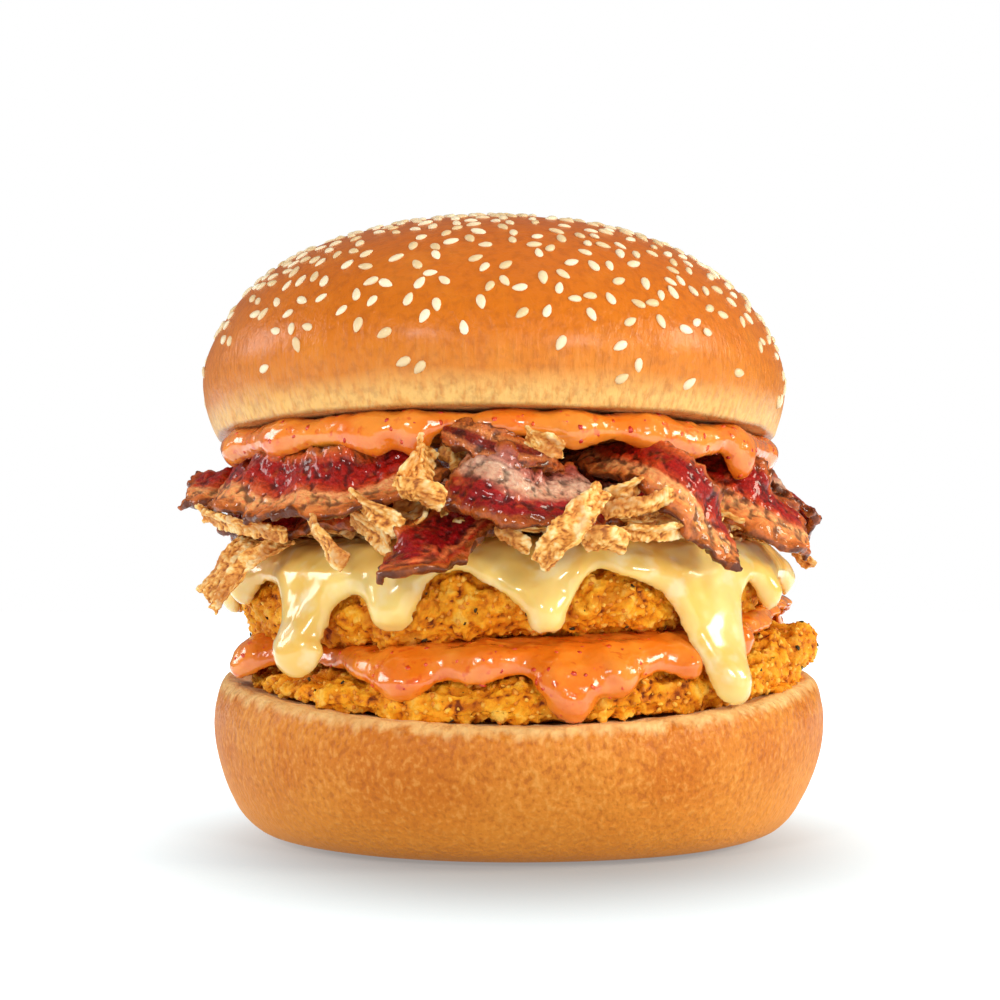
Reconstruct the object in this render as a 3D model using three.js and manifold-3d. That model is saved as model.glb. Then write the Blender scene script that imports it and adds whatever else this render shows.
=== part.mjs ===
// A tall chicken burger: a seeded bun filled with two breaded fillets, chilli sauce, melted cheese, bacon
// rashers and crisp fried onion strips. Units are millimetres and +Z is up. The origin is the middle of the
// flat base, and the side that faces the viewer is -Y.
import * as THREE from "three";
import { mergeVertices } from "three/addons/utils/BufferGeometryUtils.js";
import Module from "manifold-3d";

// Driving dimensions.
const HEEL_RADIUS = 59.2; // the bottom bun at its widest
const HEEL_FLAT_RADIUS = 41; // the flat it stands on
const CROWN_RADIUS = 57.4; // the top bun at its widest
const CROWN_SHIFT = -4.5; // the top bun sits a little to the left
const BURGER_HEIGHT = 118.9;
const FILLET_RADIUS = 52;
const CLEARANCE = 0.35; // between pieces that touch
const LAYER_GAP = 0.6; // between layers that lie flat on each other
const SIDES = 28; // around the bun and its round layers

const DEGREE = Math.PI / 180;
const UP = new THREE.Vector3(0, 0, 1);

// The surfaces that separate the layers, as heights over a point of the plan.

// The cut rim of the heel dips at the front and stands high at the sides.
const rimHeight = (x, y) => 27 + 2.9 * (y / 56) + 3.9 * (x / 56) ** 2;
// The cut face of the heel is pressed in a little by what it carries.
const heelTop = (x, y) => rimHeight(x, y) - 2 * Math.max(0, 1 - (x * x + y * y) / 56 ** 2);
const lowerFilletTop = (x, y) => 36.6 + 0.05 * x + 0.045 * y;
const upperFilletBottom = (x, y) => lowerFilletTop(x, y) + 2.6;
const upperFilletTop = (x, y) => 54 + 0.01 * x + 0.02 * y;
const crownFloor = (x, y) => 76 - 0.03 * y;

// A smooth swelling of an outline: size at the bearing "at", fading over "spread", both in degrees.
const swelling = (angle, list) =>
  list.reduce((sum, { at, size, spread }) => {
    const away = Math.atan2(Math.sin(angle - at * DEGREE), Math.cos(angle - at * DEGREE)) / (spread * DEGREE);
    return sum + size * Math.exp(-away * away);
  }, 0);

// A closed body turned about a vertical axis, with an outline that may change with the bearing.
// profileAt(angle) lists [radius, height] pairs from the bottom pole to the top pole.
function turned(profileAt, shift = 0) {
  const rows = profileAt(0).length - 2;
  const points = [];
  for (let j = 0; j < SIDES; j++) {
    const angle = (j / SIDES) * 2 * Math.PI;
    for (const [r, z] of profileAt(angle).slice(1, -1)) {
      points.push(shift + r * Math.cos(angle), r * Math.sin(angle), z);
    }
  }
  const bottom = SIDES * rows;
  const top = bottom + 1;
  points.push(shift, 0, profileAt(0)[0][1], shift, 0, profileAt(0)[rows + 1][1]);
  const faces = [];
  for (let j = 0; j < SIDES; j++) {
    const here = j * rows;
    const next = ((j + 1) % SIDES) * rows;
    faces.push(bottom, next, here);
    for (let i = 0; i < rows - 1; i++) {
      faces.push(here + i, next + i, next + i + 1, here + i, next + i + 1, here + i + 1);
    }
    faces.push(here + rows - 1, next + rows - 1, top);
  }
  return closedGeometry(points, faces);
}

// A closed body lofted through rings of the same number of points, with a fan over each end. The rings run
// clockwise as seen looking back along the loft.
function lofted(rings) {
  const count = rings[0].length;
  const points = [];
  for (const ring of rings) ring.forEach((p) => points.push(p.x, p.y, p.z));
  const faces = [];
  for (let i = 0; i < rings.length - 1; i++) {
    for (let k = 0; k < count; k++) {
      const a = i * count + k;
      const b = i * count + ((k + 1) % count);
      faces.push(a, b + count, b, a, a + count, b + count);
    }
  }
  for (const [i, flip] of [[0, false], [rings.length - 1, true]]) {
    const middle = rings[i].reduce((sum, p) => sum.add(p), new THREE.Vector3()).divideScalar(count);
    const centre = points.length / 3;
    points.push(middle.x, middle.y, middle.z);
    for (let k = 0; k < count; k++) {
      const a = i * count + k;
      const b = i * count + ((k + 1) % count);
      faces.push(...(flip ? [b, a, centre] : [a, b, centre]));
    }
  }
  return closedGeometry(points, faces);
}

function closedGeometry(points, faces) {
  const geometry = new THREE.BufferGeometry();
  geometry.setAttribute("position", new THREE.Float32BufferAttribute(points, 3));
  geometry.setIndex(faces);
  return geometry;
}

// Joining and cutting.
const wasm = await Module();
wasm.setup();

function solidFrom(geometry) {
  const merged = mergeVertices(geometry, 1e-4);
  return new wasm.Manifold(
    new wasm.Mesh({
      numProp: 3,
      vertProperties: merged.attributes.position.array,
      triVerts: new Uint32Array(merged.index.array),
    }),
  );
}

function geometryFrom(solid) {
  const mesh = solid.getMesh();
  const points = [];
  for (let i = 0; i < mesh.numVert; i++) {
    points.push(...mesh.vertProperties.subarray(i * mesh.numProp, i * mesh.numProp + 3));
  }
  return closedGeometry(points, [...mesh.triVerts]);
}

// The same body, swollen by the clearance that its neighbours keep from it.
function grown(solid) {
  const geometry = geometryFrom(solid);
  geometry.computeVertexNormals();
  const { position, normal } = geometry.attributes;
  for (let i = 0; i < position.count; i++) {
    position.setXYZ(
      i,
      position.getX(i) + CLEARANCE * normal.getX(i),
      position.getY(i) + CLEARANCE * normal.getY(i),
      position.getZ(i) + CLEARANCE * normal.getZ(i),
    );
  }
  return solidFrom(geometry);
}

// A cut can free a crumb of a piece: the largest body is the piece.
const largestBody = (solid) => solid.decompose().sort((a, b) => b.volume() - a.volume())[0];

// The bun.

// The heel's side, as radius and share of the rim's height at that bearing.
const HEEL_SIDE = [
  [HEEL_FLAT_RADIUS, 0], [46.5, 0.014], [50.4, 0.055], [54, 0.175], [57.2, 0.38], [HEEL_RADIUS, 0.66],
  [58.6, 0.87], [57.3, 0.97], [55.8, 1],
];

function heel() {
  return turned((angle) => {
    const [cos, sin] = [Math.cos(angle), Math.sin(angle)];
    const rim = rimHeight(56 * cos, 56 * sin);
    const side = HEEL_SIDE.map(([r, share]) => [r * (1 + 0.006 * Math.sin(3 * angle + 1)), share * rim]);
    const face = [50, 26].map((r) => [r, heelTop(r * cos, r * sin)]);
    return [[0, 0], ...side, ...face, [0, heelTop(0, 0)]];
  });
}

// The crown's outside, as a share of its radius and of its height above the cut face.
const CROWN_DOME = [
  [0.945, 0.02], [0.984, 0.08], [1, 0.21], [0.985, 0.35], [0.925, 0.52], [0.82, 0.69], [0.66, 0.83],
  [0.45, 0.935], [0.22, 0.985],
];

function crown() {
  return turned((angle) => {
    const [cos, sin] = [Math.cos(angle), Math.sin(angle)];
    const floorAt = (r) => crownFloor(CROWN_SHIFT + r * cos, r * sin);
    const face = [26, 50].map((r) => [r, floorAt(r)]);
    const rim = floorAt(54);
    const dome = CROWN_DOME.map(([share, rise]) => [
      CROWN_RADIUS * share * (1 + 0.008 * Math.sin(2 * angle + 0.6)),
      rim + (BURGER_HEIGHT - rim) * rise,
    ]);
    return [[0, crownFloor(CROWN_SHIFT, 0)], ...face, ...dome, [0, BURGER_HEIGHT]];
  }, CROWN_SHIFT);
}

// The breaded fillets.

// The swellings of each fillet's outline: bearing and size of the lobes and hollows that show in its edge.
const LOWER_FILLET_OUTLINE = [
  { at: -8, size: 6.5, spread: 26 }, { at: -90, size: 2.2, spread: 50 }, { at: 178, size: -3.5, spread: 30 },
  { at: 120, size: 2.5, spread: 24 }, { at: 60, size: -1.5, spread: 20 },
];
const LOWER_FILLET_RISE = [{ at: -10, size: 4.4, spread: 22 }, { at: 130, size: 2, spread: 30 }];
const UPPER_FILLET_OUTLINE = [
  { at: -112, size: 2.2, spread: 17 }, { at: -70, size: 2.4, spread: 17 }, { at: -91, size: -3.4, spread: 9 },
  { at: 188, size: 3.5, spread: 30 }, { at: 10, size: -1.5, spread: 30 }, { at: 80, size: 2.5, spread: 30 },
];
// How far the upper fillet's edge droops over what it lies on.
const UPPER_FILLET_DROOP = [
  { at: -112, size: 2.3, spread: 22 }, { at: -70, size: 0.6, spread: 18 }, { at: 190, size: 3.5, spread: 26 },
];

// A flat body with a bulging edge. floorAt and topAt give its heights over a point of the plan, and the edge
// can rise or droop with the bearing.
function fillet(radius, outline, floorAt, topAt, rise, droop) {
  return turned((angle) => {
    const [cos, sin] = [Math.cos(angle), Math.sin(angle)];
    const edge = radius + swelling(angle, outline);
    const at = (share, height) => {
      const r = edge * share;
      const low = floorAt(r * cos, r * sin) - droop(angle) * share ** 6;
      const high = topAt(r * cos, r * sin) + rise(angle) * share ** 4;
      return [r, low + (high - low) * height];
    };
    return [
      [0, floorAt(0, 0)], at(0.45, 0), at(0.8, 0), at(0.93, 0.1), at(0.99, 0.32), at(1, 0.58),
      at(0.96, 0.84), at(0.86, 0.98), at(0.5, 1), [0, topAt(0, 0)],
    ];
  });
}

const none = () => 0;
const lowerRise = (angle) => swelling(angle, LOWER_FILLET_RISE);
const upperDroop = (angle) => swelling(angle, UPPER_FILLET_DROOP);

const lowerFillet = () =>
  fillet(FILLET_RADIUS, LOWER_FILLET_OUTLINE, (x, y) => heelTop(x, y) + LAYER_GAP, lowerFilletTop, lowerRise, none);
const upperFillet = () =>
  fillet(FILLET_RADIUS - 1, UPPER_FILLET_OUTLINE, upperFilletBottom, upperFilletTop, none, upperDroop);

// The soft layers. Each is a blanket over what is under it, with tongues that run down its side.

// A hanging tongue: a round strand through its stations, each [x, y, z, half width, half thickness].
function tongue(stations) {
  const curve = new THREE.CatmullRomCurve3(stations.map(([x, y, z]) => new THREE.Vector3(x, y, z)));
  const steps = stations.length + 1;
  const rings = [];
  for (let i = 0; i <= steps; i++) {
    const t = i / steps;
    const place = t * (stations.length - 1);
    const k = Math.min(Math.floor(place), stations.length - 2);
    const blend = (n) => THREE.MathUtils.lerp(stations[k][n], stations[k + 1][n], place - k);
    const centre = curve.getPoint(t);
    const out = new THREE.Vector3(centre.x, centre.y, 0).normalize();
    const along = curve.getTangent(t);
    const wide = new THREE.Vector3().crossVectors(along, out).normalize();
    const thick = new THREE.Vector3().crossVectors(wide, along).normalize();
    const round = t === 1 ? 0.45 : 1;
    rings.push(
      Array.from({ length: 6 }, (_, n) => {
        const turn = (n / 6) * 2 * Math.PI;
        return centre
          .clone()
          .addScaledVector(wide, Math.cos(turn) * blend(3) * round)
          .addScaledVector(thick, Math.sin(turn) * blend(4) * round);
      }),
    );
  }
  return solidFrom(lofted(rings));
}

// A blanket between floorAt and topAt that turns down at its outline to a rounded edge at edgeAt(angle).
function blanket(radiusAt, edgeAt, floorAt, topAt, shift = 0) {
  return solidFrom(
    turned((angle) => {
      const [cos, sin] = [Math.cos(angle), Math.sin(angle)];
      const radius = radiusAt(angle);
      const over = (surface, share) => surface(shift + radius * share * cos, radius * share * sin);
      const low = edgeAt(angle);
      const high = over(topAt, 1) - 0.4;
      return [
        [0, floorAt(shift, 0)], [radius * 0.76, over(floorAt, 0.76)], [radius * 0.88, low + 0.4],
        [radius * 0.97, low], [radius, low + (high - low) * 0.4], [radius * 0.95, over(topAt, 0.95) - 0.3],
        [radius * 0.82, over(topAt, 0.82)], [0, topAt(shift, 0)],
      ];
    }, shift),
  );
}

// Where the lower sauce runs over the edge of its fillet, and how far down.
const LOWER_SAUCE_SPREAD = [
  { at: -90, size: 4.6, spread: 62 }, { at: 205, size: 3, spread: 12 }, { at: -37, size: 2, spread: 9 },
  { at: 95, size: 3.5, spread: 40 },
];
const LOWER_SAUCE_RUN = [
  { at: -112, size: 4.6, spread: 14 }, { at: -66, size: 3.2, spread: 12 }, { at: 205, size: 4.2, spread: 10 },
  { at: -84, size: 1.5, spread: 10 }, { at: -54, size: 2.5, spread: 9 }, { at: 80, size: 3.5, spread: 14 },
  { at: 120, size: 2.5, spread: 10 },
];

function lowerSauce() {
  const body = blanket(
    (angle) => 51.5 + swelling(angle, LOWER_SAUCE_SPREAD),
    (angle) => {
      const [x, y] = [50 * Math.cos(angle), 50 * Math.sin(angle)];
      return lowerFilletTop(x, y) - 2.4 - swelling(angle, LOWER_SAUCE_RUN) + lowerRise(angle) * 0.6;
    },
    (x, y) => lowerFilletTop(x, y) + LAYER_GAP,
    (x, y) => upperFilletBottom(x, y) - LAYER_GAP,
  );
  const middleTongue = tongue([
    [7, -53.2, 36, 7, 2.6], [8.3, -54.8, 31, 5.2, 2.7], [8.9, -56.2, 27.6, 4.2, 2.7], [9, -57.2, 24.4, 3.8, 2.4],
  ]);
  const backTongue = tongue([[-20, 50, 38, 6, 2.5], [-21, 52.6, 34, 4.6, 2.5], [-21.5, 53.6, 31.6, 3.6, 2.2]]);
  return body.add(middleTongue).add(backTongue);
}

// Where the cheese hangs over the shoulder of the upper fillet.
const CHEESE_RUN = [
  { at: -133, size: 6, spread: 13 }, { at: -112, size: 4, spread: 9 }, { at: -82, size: 3.5, spread: 9 },
  { at: -52, size: 5.5, spread: 15 }, { at: -35, size: 3, spread: 12 }, { at: 40, size: 5, spread: 13 },
  { at: 88, size: 4, spread: 11 }, { at: 133, size: 5.5, spread: 13 }, { at: 172, size: 2.4, spread: 14 },
];
const CHEESE_SPREAD = [
  { at: -133, size: 1.4, spread: 16 }, { at: -48, size: 1.8, spread: 22 }, { at: 178, size: 2.5, spread: 25 },
  { at: -92, size: -2.2, spread: 8 }, { at: 85, size: 2, spread: 30 },
];
// The long runs of cheese, from the shoulder down: x, y, z, half width, half thickness.
const CHEESE_TONGUES = [
  [
    [-37.5, -38, 53, 9.5, 2.6], [-38.8, -40.6, 47, 6.2, 2.8], [-39.4, -42, 41.5, 5.2, 2.8],
    [-40.2, -42.6, 37, 5.8, 3.2], [-40.4, -42.4, 33.6, 5.4, 3.2],
  ],
  [[-22.5, -48.6, 50, 7.5, 2.4], [-22.3, -51.6, 45.5, 5.2, 2.6], [-22.1, -53.2, 41, 4, 2.6]],
  [[4.6, -51, 50.5, 9, 2.4], [4.9, -53.4, 45.5, 4.8, 2.5], [4.9, -54.6, 41, 3.2, 2.2]],
  [
    [31, -40.5, 53, 12, 2.8], [33.5, -42.6, 46, 8.6, 2.9], [35, -44, 39.5, 6, 2.8],
    [36, -44.8, 33.5, 4.8, 2.8], [36.8, -45.4, 28.6, 4, 2.5],
  ],
  [[38, 35, 52, 8, 2.5], [41, 37.6, 45, 5, 2.6], [42, 38.4, 40, 4, 2.6]],
  [[-35, 38, 53, 9, 2.6], [-38, 40.6, 45, 5.2, 2.8], [-39, 41.4, 37, 3.8, 2.8], [-39.2, 41.6, 33.5, 3.6, 2.6]],
];

function cheese() {
  const body = blanket(
    (angle) => 51.6 + swelling(angle, CHEESE_SPREAD),
    (angle) => 50.4 - swelling(angle, CHEESE_RUN),
    (x, y) => upperFilletTop(x, y) + LAYER_GAP,
    (x, y) => upperFilletTop(x, y) + 2.8,
  );
  return CHEESE_TONGUES.map(tongue).reduce((whole, run) => whole.add(run), body);
}

// The upper sauce is pressed out from under the crown in fat lobes.
const UPPER_SAUCE_RUN = [
  { at: -117, size: 4.2, spread: 16 }, { at: -74, size: 3.6, spread: 12 }, { at: -42, size: 3.8, spread: 11 },
  { at: -146, size: 3.6, spread: 15 }, { at: -60, size: 2, spread: 8 }, { at: 60, size: 4, spread: 13 },
  { at: 110, size: 3.4, spread: 15 }, { at: 160, size: 2.5, spread: 12 }, { at: 15, size: 2.4, spread: 14 },
];
const UPPER_SAUCE_SPREAD = [
  { at: -115, size: 2.2, spread: 28 }, { at: -74, size: 2.4, spread: 14 }, { at: -42, size: 1.4, spread: 14 },
  { at: 60, size: 2, spread: 18 }, { at: 110, size: 1.6, spread: 20 }, { at: 175, size: -3, spread: 16 },
];

function upperSauce() {
  const body = blanket(
    (angle) => 52.8 + swelling(angle, UPPER_SAUCE_SPREAD),
    (angle) => 72.8 - swelling(angle, UPPER_SAUCE_RUN),
    (x, y) => crownFloor(x, y) - 3.2,
    (x, y) => crownFloor(x, y) - LAYER_GAP,
    CROWN_SHIFT,
  );
  const rightTongue = tongue([[37.4, -30.6, 74.6, 6, 2.6], [40.4, -32.6, 71.4, 4.6, 2.7], [41.6, -33.4, 68.6, 3.4, 2.5]]);
  return body.add(rightTongue);
}

// The rashers.

const RASHER_THICKNESS = 2.1;

// A rippled ribbon laid along its stations, each [x, y, z, width, roll in degrees].
// ripple is the height of its waves, wave their length, curl how far its two edges bend under.
function rasher({ stations, ripple, wave, curl, steps }) {
  const curve = new THREE.CatmullRomCurve3(stations.map(([x, y, z]) => new THREE.Vector3(x, y, z)));
  const length = curve.getLength();
  const across = [-1, 0, 1];
  const rings = [];
  for (let i = 0; i <= steps; i++) {
    const t = i / steps;
    const place = t * (stations.length - 1);
    const k = Math.min(Math.floor(place), stations.length - 2);
    const blend = (n) => THREE.MathUtils.lerp(stations[k][n], stations[k + 1][n], place - k);
    const along = curve.getTangent(t);
    const level = new THREE.Vector3().crossVectors(along, UP).normalize();
    const wide = level.applyAxisAngle(along, blend(4) * DEGREE);
    const up = new THREE.Vector3().crossVectors(wide, along);
    const lift = (v) => ripple * Math.sin((2 * Math.PI * t * length) / wave + 0.8 * v) - curl * v * v;
    const point = (v, side) =>
      curve
        .getPoint(t)
        .addScaledVector(wide, (v * blend(3)) / 2)
        .addScaledVector(up, lift(v) + (side * RASHER_THICKNESS * (1 - 0.3 * v * v)) / 2);
    rings.push([...across.map((v) => point(v, -1)), ...across.toReversed().map((v) => point(v, 1))]);
  }
  return solidFrom(lofted(rings));
}

// Stations run counter-clockwise round the burger, or inwards from it, and a roll above zero lets the outer
// edge hang down.
const RASHERS = {
  bacon_centre: {
    stations: [
      [-10.9, -53.5, 66.4, 13, 62], [-3.5, -58, 64.2, 14, 62], [4.5, -56.5, 61.9, 14, 60], [14, -43, 62.8, 14, 40],
      [23, -15, 63.4, 18, 4], [30, 18, 63.6, 20, 0], [34, 47, 62, 17, -14],
    ],
    ripple: 0.5, wave: 22, curl: 0.6, steps: 13,
  },
  bacon_curl: {
    stations: [
      [-23, -59, 49.6, 10, 38], [-17.5, -60.5, 53, 11.5, 42], [-11, -53, 57.6, 12, 36], [-4, -43, 60.4, 13, 16],
      [1, -22, 60.4, 16, 0], [0, 12, 60.4, 18, 0], [-3, 38, 61, 18, -4], [-6, 57, 58.6, 15, -16],
    ],
    ripple: 0.4, wave: 20, curl: 0.5, steps: 13,
  },
  bacon_right: {
    stations: [
      [10, 44, 69.4, 18, 8], [14, 12, 69.6, 18, 0], [14, -14, 69.9, 16, 0], [16, -37, 71.2, 13, 20],
      [21, -47.5, 69.4, 12, 40], [27, -51.5, 64.8, 13, 52], [32.4, -50, 59, 13.5, 58], [37, -46, 53.6, 12, 58],
    ],
    ripple: 0.4, wave: 24, curl: 0.9, steps: 14,
  },
  bacon_across: {
    stations: [
      [-64, -8, 66.6, 13, 34], [-53, -10, 67, 15, 24], [-36, -6, 66.4, 17, 2], [-16, -2, 66.4, 18, 0],
      [4, -4, 66.6, 18, 0], [20, -12, 66.9, 18, 0], [32, -24, 67.4, 17, 16], [41.4, -30, 64.4, 16, 48],
      [47.4, -28, 60.6, 15, 66], [52, -21, 57.6, 14, 70],
    ],
    ripple: 0.5, wave: 21, curl: 0.4, steps: 17,
  },
  bacon_left: {
    stations: [
      [-50, 16, 68, 15, 30], [-54, -14, 67, 15, 48], [-47.5, -33, 65.4, 15, 54], [-36, -45.6, 64.2, 15, 56],
      [-24.6, -50, 65.4, 14, 52], [-14, -45, 69, 12, 40],
    ],
    ripple: 0.7, wave: 21, curl: -1.2, steps: 13,
  },
  bacon_left_under: {
    stations: [
      [-47, 14, 61.8, 14, 20], [-50, -12, 61.2, 14, 40], [-41, -31, 60.6, 12, 50], [-30, -40, 61.8, 10, 50],
      [-19, -40, 63.4, 10, 40],
    ],
    ripple: 0.4, wave: 18, curl: 0.2, steps: 11,
  },
  bacon_top: {
    stations: [[-12.9, -51.5, 73.6, 4.6, 52], [-6, -55, 71.4, 6.4, 54], [1.6, -54, 69.6, 7, 54], [6, -46, 69.6, 8, 40]],
    ripple: 0.3, wave: 16, curl: 0.3, steps: 8,
  },
  bacon_right_side: {
    stations: [[52, -6, 66, 12, 40], [54, 6, 63.4, 15, 52], [51, 20, 63.6, 16, 54], [42, 32, 66.4, 15, 46]],
    ripple: 0.6, wave: 17, curl: -0.8, steps: 11,
  },
  bacon_back_right: {
    stations: [[44, 36, 57.4, 12, 42], [35, 46.5, 60.6, 15, 50], [23, 52, 65.4, 15, 50], [9, 51, 69, 13, 36]],
    ripple: 0.5, wave: 20, curl: 0.6, steps: 11,
  },
  bacon_back: {
    stations: [[2, 57, 60.2, 11, 48], [-10, 55, 63.6, 15, 54], [-22, 50.5, 66.6, 16, 50], [-33, 41, 69.2, 13, 34]],
    ripple: 0.6, wave: 18, curl: -0.9, steps: 11,
  },
  bacon_back_left: {
    stations: [[-30, 49, 60.2, 12, 40], [-41, 42, 61.4, 15, 52], [-51, 29, 63.6, 15, 54], [-56.5, 14, 64.8, 12, 44]],
    ripple: 0.6, wave: 19, curl: 0.5, steps: 11,
  },
};

// The crisp onion strips.

// A strip of battered onion through three stations [x, y, z], with its width, thickness and roll in degrees.
function onionStrip([start, middle, end, width, thickness, roll], index) {
  const curve = new THREE.CatmullRomCurve3([start, middle, end].map(([x, y, z]) => new THREE.Vector3(x, y, z)));
  const steps = 4;
  const rings = [];
  for (let i = 0; i <= steps; i++) {
    const t = i / steps;
    const along = curve.getTangent(t);
    const wide = new THREE.Vector3().crossVectors(along, UP).normalize().applyAxisAngle(along, roll * DEGREE);
    const up = new THREE.Vector3().crossVectors(wide, along);
    const swell = (0.72 + 0.28 * Math.sin(Math.PI * t)) * (1 + 0.14 * Math.sin(2.3 * i + 1.7 * index));
    rings.push(
      Array.from({ length: 5 }, (_, n) => {
        const turn = ((n + 0.25) / 5) * 2 * Math.PI;
        return curve
          .getPoint(t)
          .addScaledVector(wide, (Math.cos(turn) * width * swell) / 1.85)
          .addScaledVector(up, (Math.sin(turn) * thickness * swell) / 2);
      }),
    );
  }
  return solidFrom(lofted(rings));
}

// Those at the front, from left to right.
const FRONT_ONIONS = [
  [[-46, -30, 57.6], [-52.5, -33, 52.5], [-57.6, -33.5, 45.2], 8, 4, -40],
  [[-41, -36, 55.6], [-48.4, -38.5, 51.6], [-54.4, -38.5, 43], 3.4, 2.6, -50],
  [[-59.5, -25, 61.4], [-51, -35.4, 58.8], [-41.5, -43, 57], 5, 3, -40],
  [[-36.6, -50.5, 58.6], [-34, -55.4, 54.4], [-29.8, -57.6, 50.6], 5, 3, -60],
  [[-28.8, -53, 63], [-24.4, -57.4, 60], [-20, -58, 57], 4.6, 3, -60],
  [[-16.2, -54, 71.4], [-17.4, -57.6, 66.5], [-19.2, -58.4, 62], 7, 2.6, -84],
  [[-10.6, -49, 72], [-11.6, -49.6, 68.4], [-11.6, -48.6, 65], 6.2, 2.4, -84],
  [[-21, -60.8, 63.2], [-17, -62.4, 62.8], [-12.8, -62, 60.6], 5, 2.8, -60],
  [[-30, -46, 60.4], [-26.4, -50.6, 57.6], [-21.6, -53.6, 54.2], 6.4, 2.8, -55],
  [[13.8, -61.5, 63.4], [8.3, -64.8, 56.8], [3, -64.2, 50.3], 5.2, 3, -66],
  [[14.6, -55.5, 61.6], [17.5, -56, 63.2], [20.6, -53.5, 65], 4.8, 2.6, -60],
  [[13.6, -58.4, 59.2], [20, -58.6, 60.4], [26.4, -56.4, 62.6], 4, 2.6, -60],
  [[15, -54.4, 56.6], [22.3, -56.4, 56.6], [30, -53.4, 57.2], 3.6, 2.6, -50],
  [[10, -59.4, 54.6], [14, -60.2, 55], [18, -57.6, 53.6], 5.6, 2.8, -50],
  [[1, -55.6, 73], [4, -58, 71.6], [7.2, -57.6, 69.8], 4.2, 2.4, -60],
  [[-4.4, -57, 55.8], [-1.4, -58.6, 54.8], [1.6, -58, 53.2], 4, 2.6, -50],
];

// The others stick out of the heap all round: bearing, height of the root, reach past the heap, drop of the
// tip, and how far the strip swings round the burger.
const RIM_ONIONS = [
  [-10, 59.8, 14, 8, 8], [7, 60.4, 14, 9, -6], [26, 59.8, 13, 7, -10], [36, 59.6, 14, 10, 8],
  [56, 60.4, 13, 8, -8], [69, 59.8, 14, 10, 8], [88, 60.2, 13, 7, -10], [100, 59.8, 15, 11, 8],
  [118, 60.4, 13, 8, 8], [134, 59.8, 14, 10, -6], [150, 60.4, 13, 8, 8], [168, 59.8, 14, 9, -8],
  [184, 60, 14, 8, 6],
];
const HEAP_RADIUS = 38;

const rimOnion = ([bearing, height, reach, drop, swing], index) => {
  const place = (share, rise) => {
    const angle = (bearing + swing * share) * DEGREE;
    const r = HEAP_RADIUS + 3.5 + (reach + 3.5) * share;
    return [r * Math.cos(angle), r * Math.sin(angle), height + rise];
  };
  return [place(0, 0), place(0.55, 0.6), place(1, -drop), 5.4 + Math.sin(5 * index), 2.9, 15 * Math.sin(3 * index)];
};

// The heap in the middle, between the cheese and the rashers.
const HEAP_LUMPS = [
  { at: -60, size: 2, spread: 14 }, { at: -20, size: 2.4, spread: 12 }, { at: 28, size: 2.6, spread: 14 },
  { at: 75, size: 2.2, spread: 12 }, { at: 120, size: 2.6, spread: 13 }, { at: 168, size: 2.4, spread: 14 },
  { at: 215, size: 1.6, spread: 12 },
];

function onionHeap() {
  return solidFrom(
    turned((angle) => {
      const [cos, sin] = [Math.cos(angle), Math.sin(angle)];
      const edge = HEAP_RADIUS + swelling(angle, HEAP_LUMPS);
      const bed = (r) => upperFilletTop(r * cos, r * sin) + 2.8 + LAYER_GAP;
      const lump = 0.4 * Math.sin(7 * angle);
      return [
        [0, bed(0)], [edge * 0.92, bed(edge * 0.92)], [edge, 59.2], [edge * 0.9, 61 + lump], [0, 61.5],
      ];
    }),
  );
}

// Colours, from the photograph.
const food = (color, roughness) => new THREE.MeshStandardMaterial({ color, roughness, metalness: 0 });
const crust = food(0xc8782c, 0.45);
const paleCrust = food(0xd98a40, 0.7);
const breadcrumb = food(0xc47a22, 0.8);
const chilliSauce = food(0xec7a34, 0.3);
const meltedCheese = food(0xf6d488, 0.3);
const bacon = food(0x8c2a1c, 0.4);
const friedOnion = food(0xdca362, 0.8);

// Assembly. Firm pieces come first and soft layers last, because each is cut clear of all those before it.
const onions = [...FRONT_ONIONS, ...RIM_ONIONS.map(rimOnion)];
const pieces = [
  ["heel", solidFrom(heel()), paleCrust],
  ["crown", solidFrom(crown()), crust],
  ["lower_fillet", solidFrom(lowerFillet()), breadcrumb],
  ["upper_fillet", solidFrom(upperFillet()), breadcrumb],
  ...Object.entries(RASHERS).map(([name, made]) => [name, rasher(made), bacon]),
  ...onions.map((strip, i) => [`onion_${String(i + 1).padStart(2, "0")}`, onionStrip(strip, i), friedOnion]),
  ["onion_heap", onionHeap(), friedOnion],
  ["cheese", cheese(), meltedCheese],
  ["lower_sauce", lowerSauce(), chilliSauce],
  ["upper_sauce", upperSauce(), chilliSauce],
];

const burger = new THREE.Group();
burger.name = "chicken_burger";
const before = [];
for (const [name, whole, material] of pieces) {
  const cut = largestBody(before.reduce((left, neighbour) => left.subtract(neighbour), whole));
  before.push(grown(cut));
  const mesh = new THREE.Mesh(geometryFrom(cut), material);
  mesh.name = name;
  burger.add(mesh);
}

export default burger;
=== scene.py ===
"""A tall chicken burger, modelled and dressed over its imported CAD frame.

Sizes are in millimetres, and MM turns them into Blender's metres. +Z is up, the viewer of the photograph is
on the -Y side, and the bottom bun stands on the origin.
"""

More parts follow.
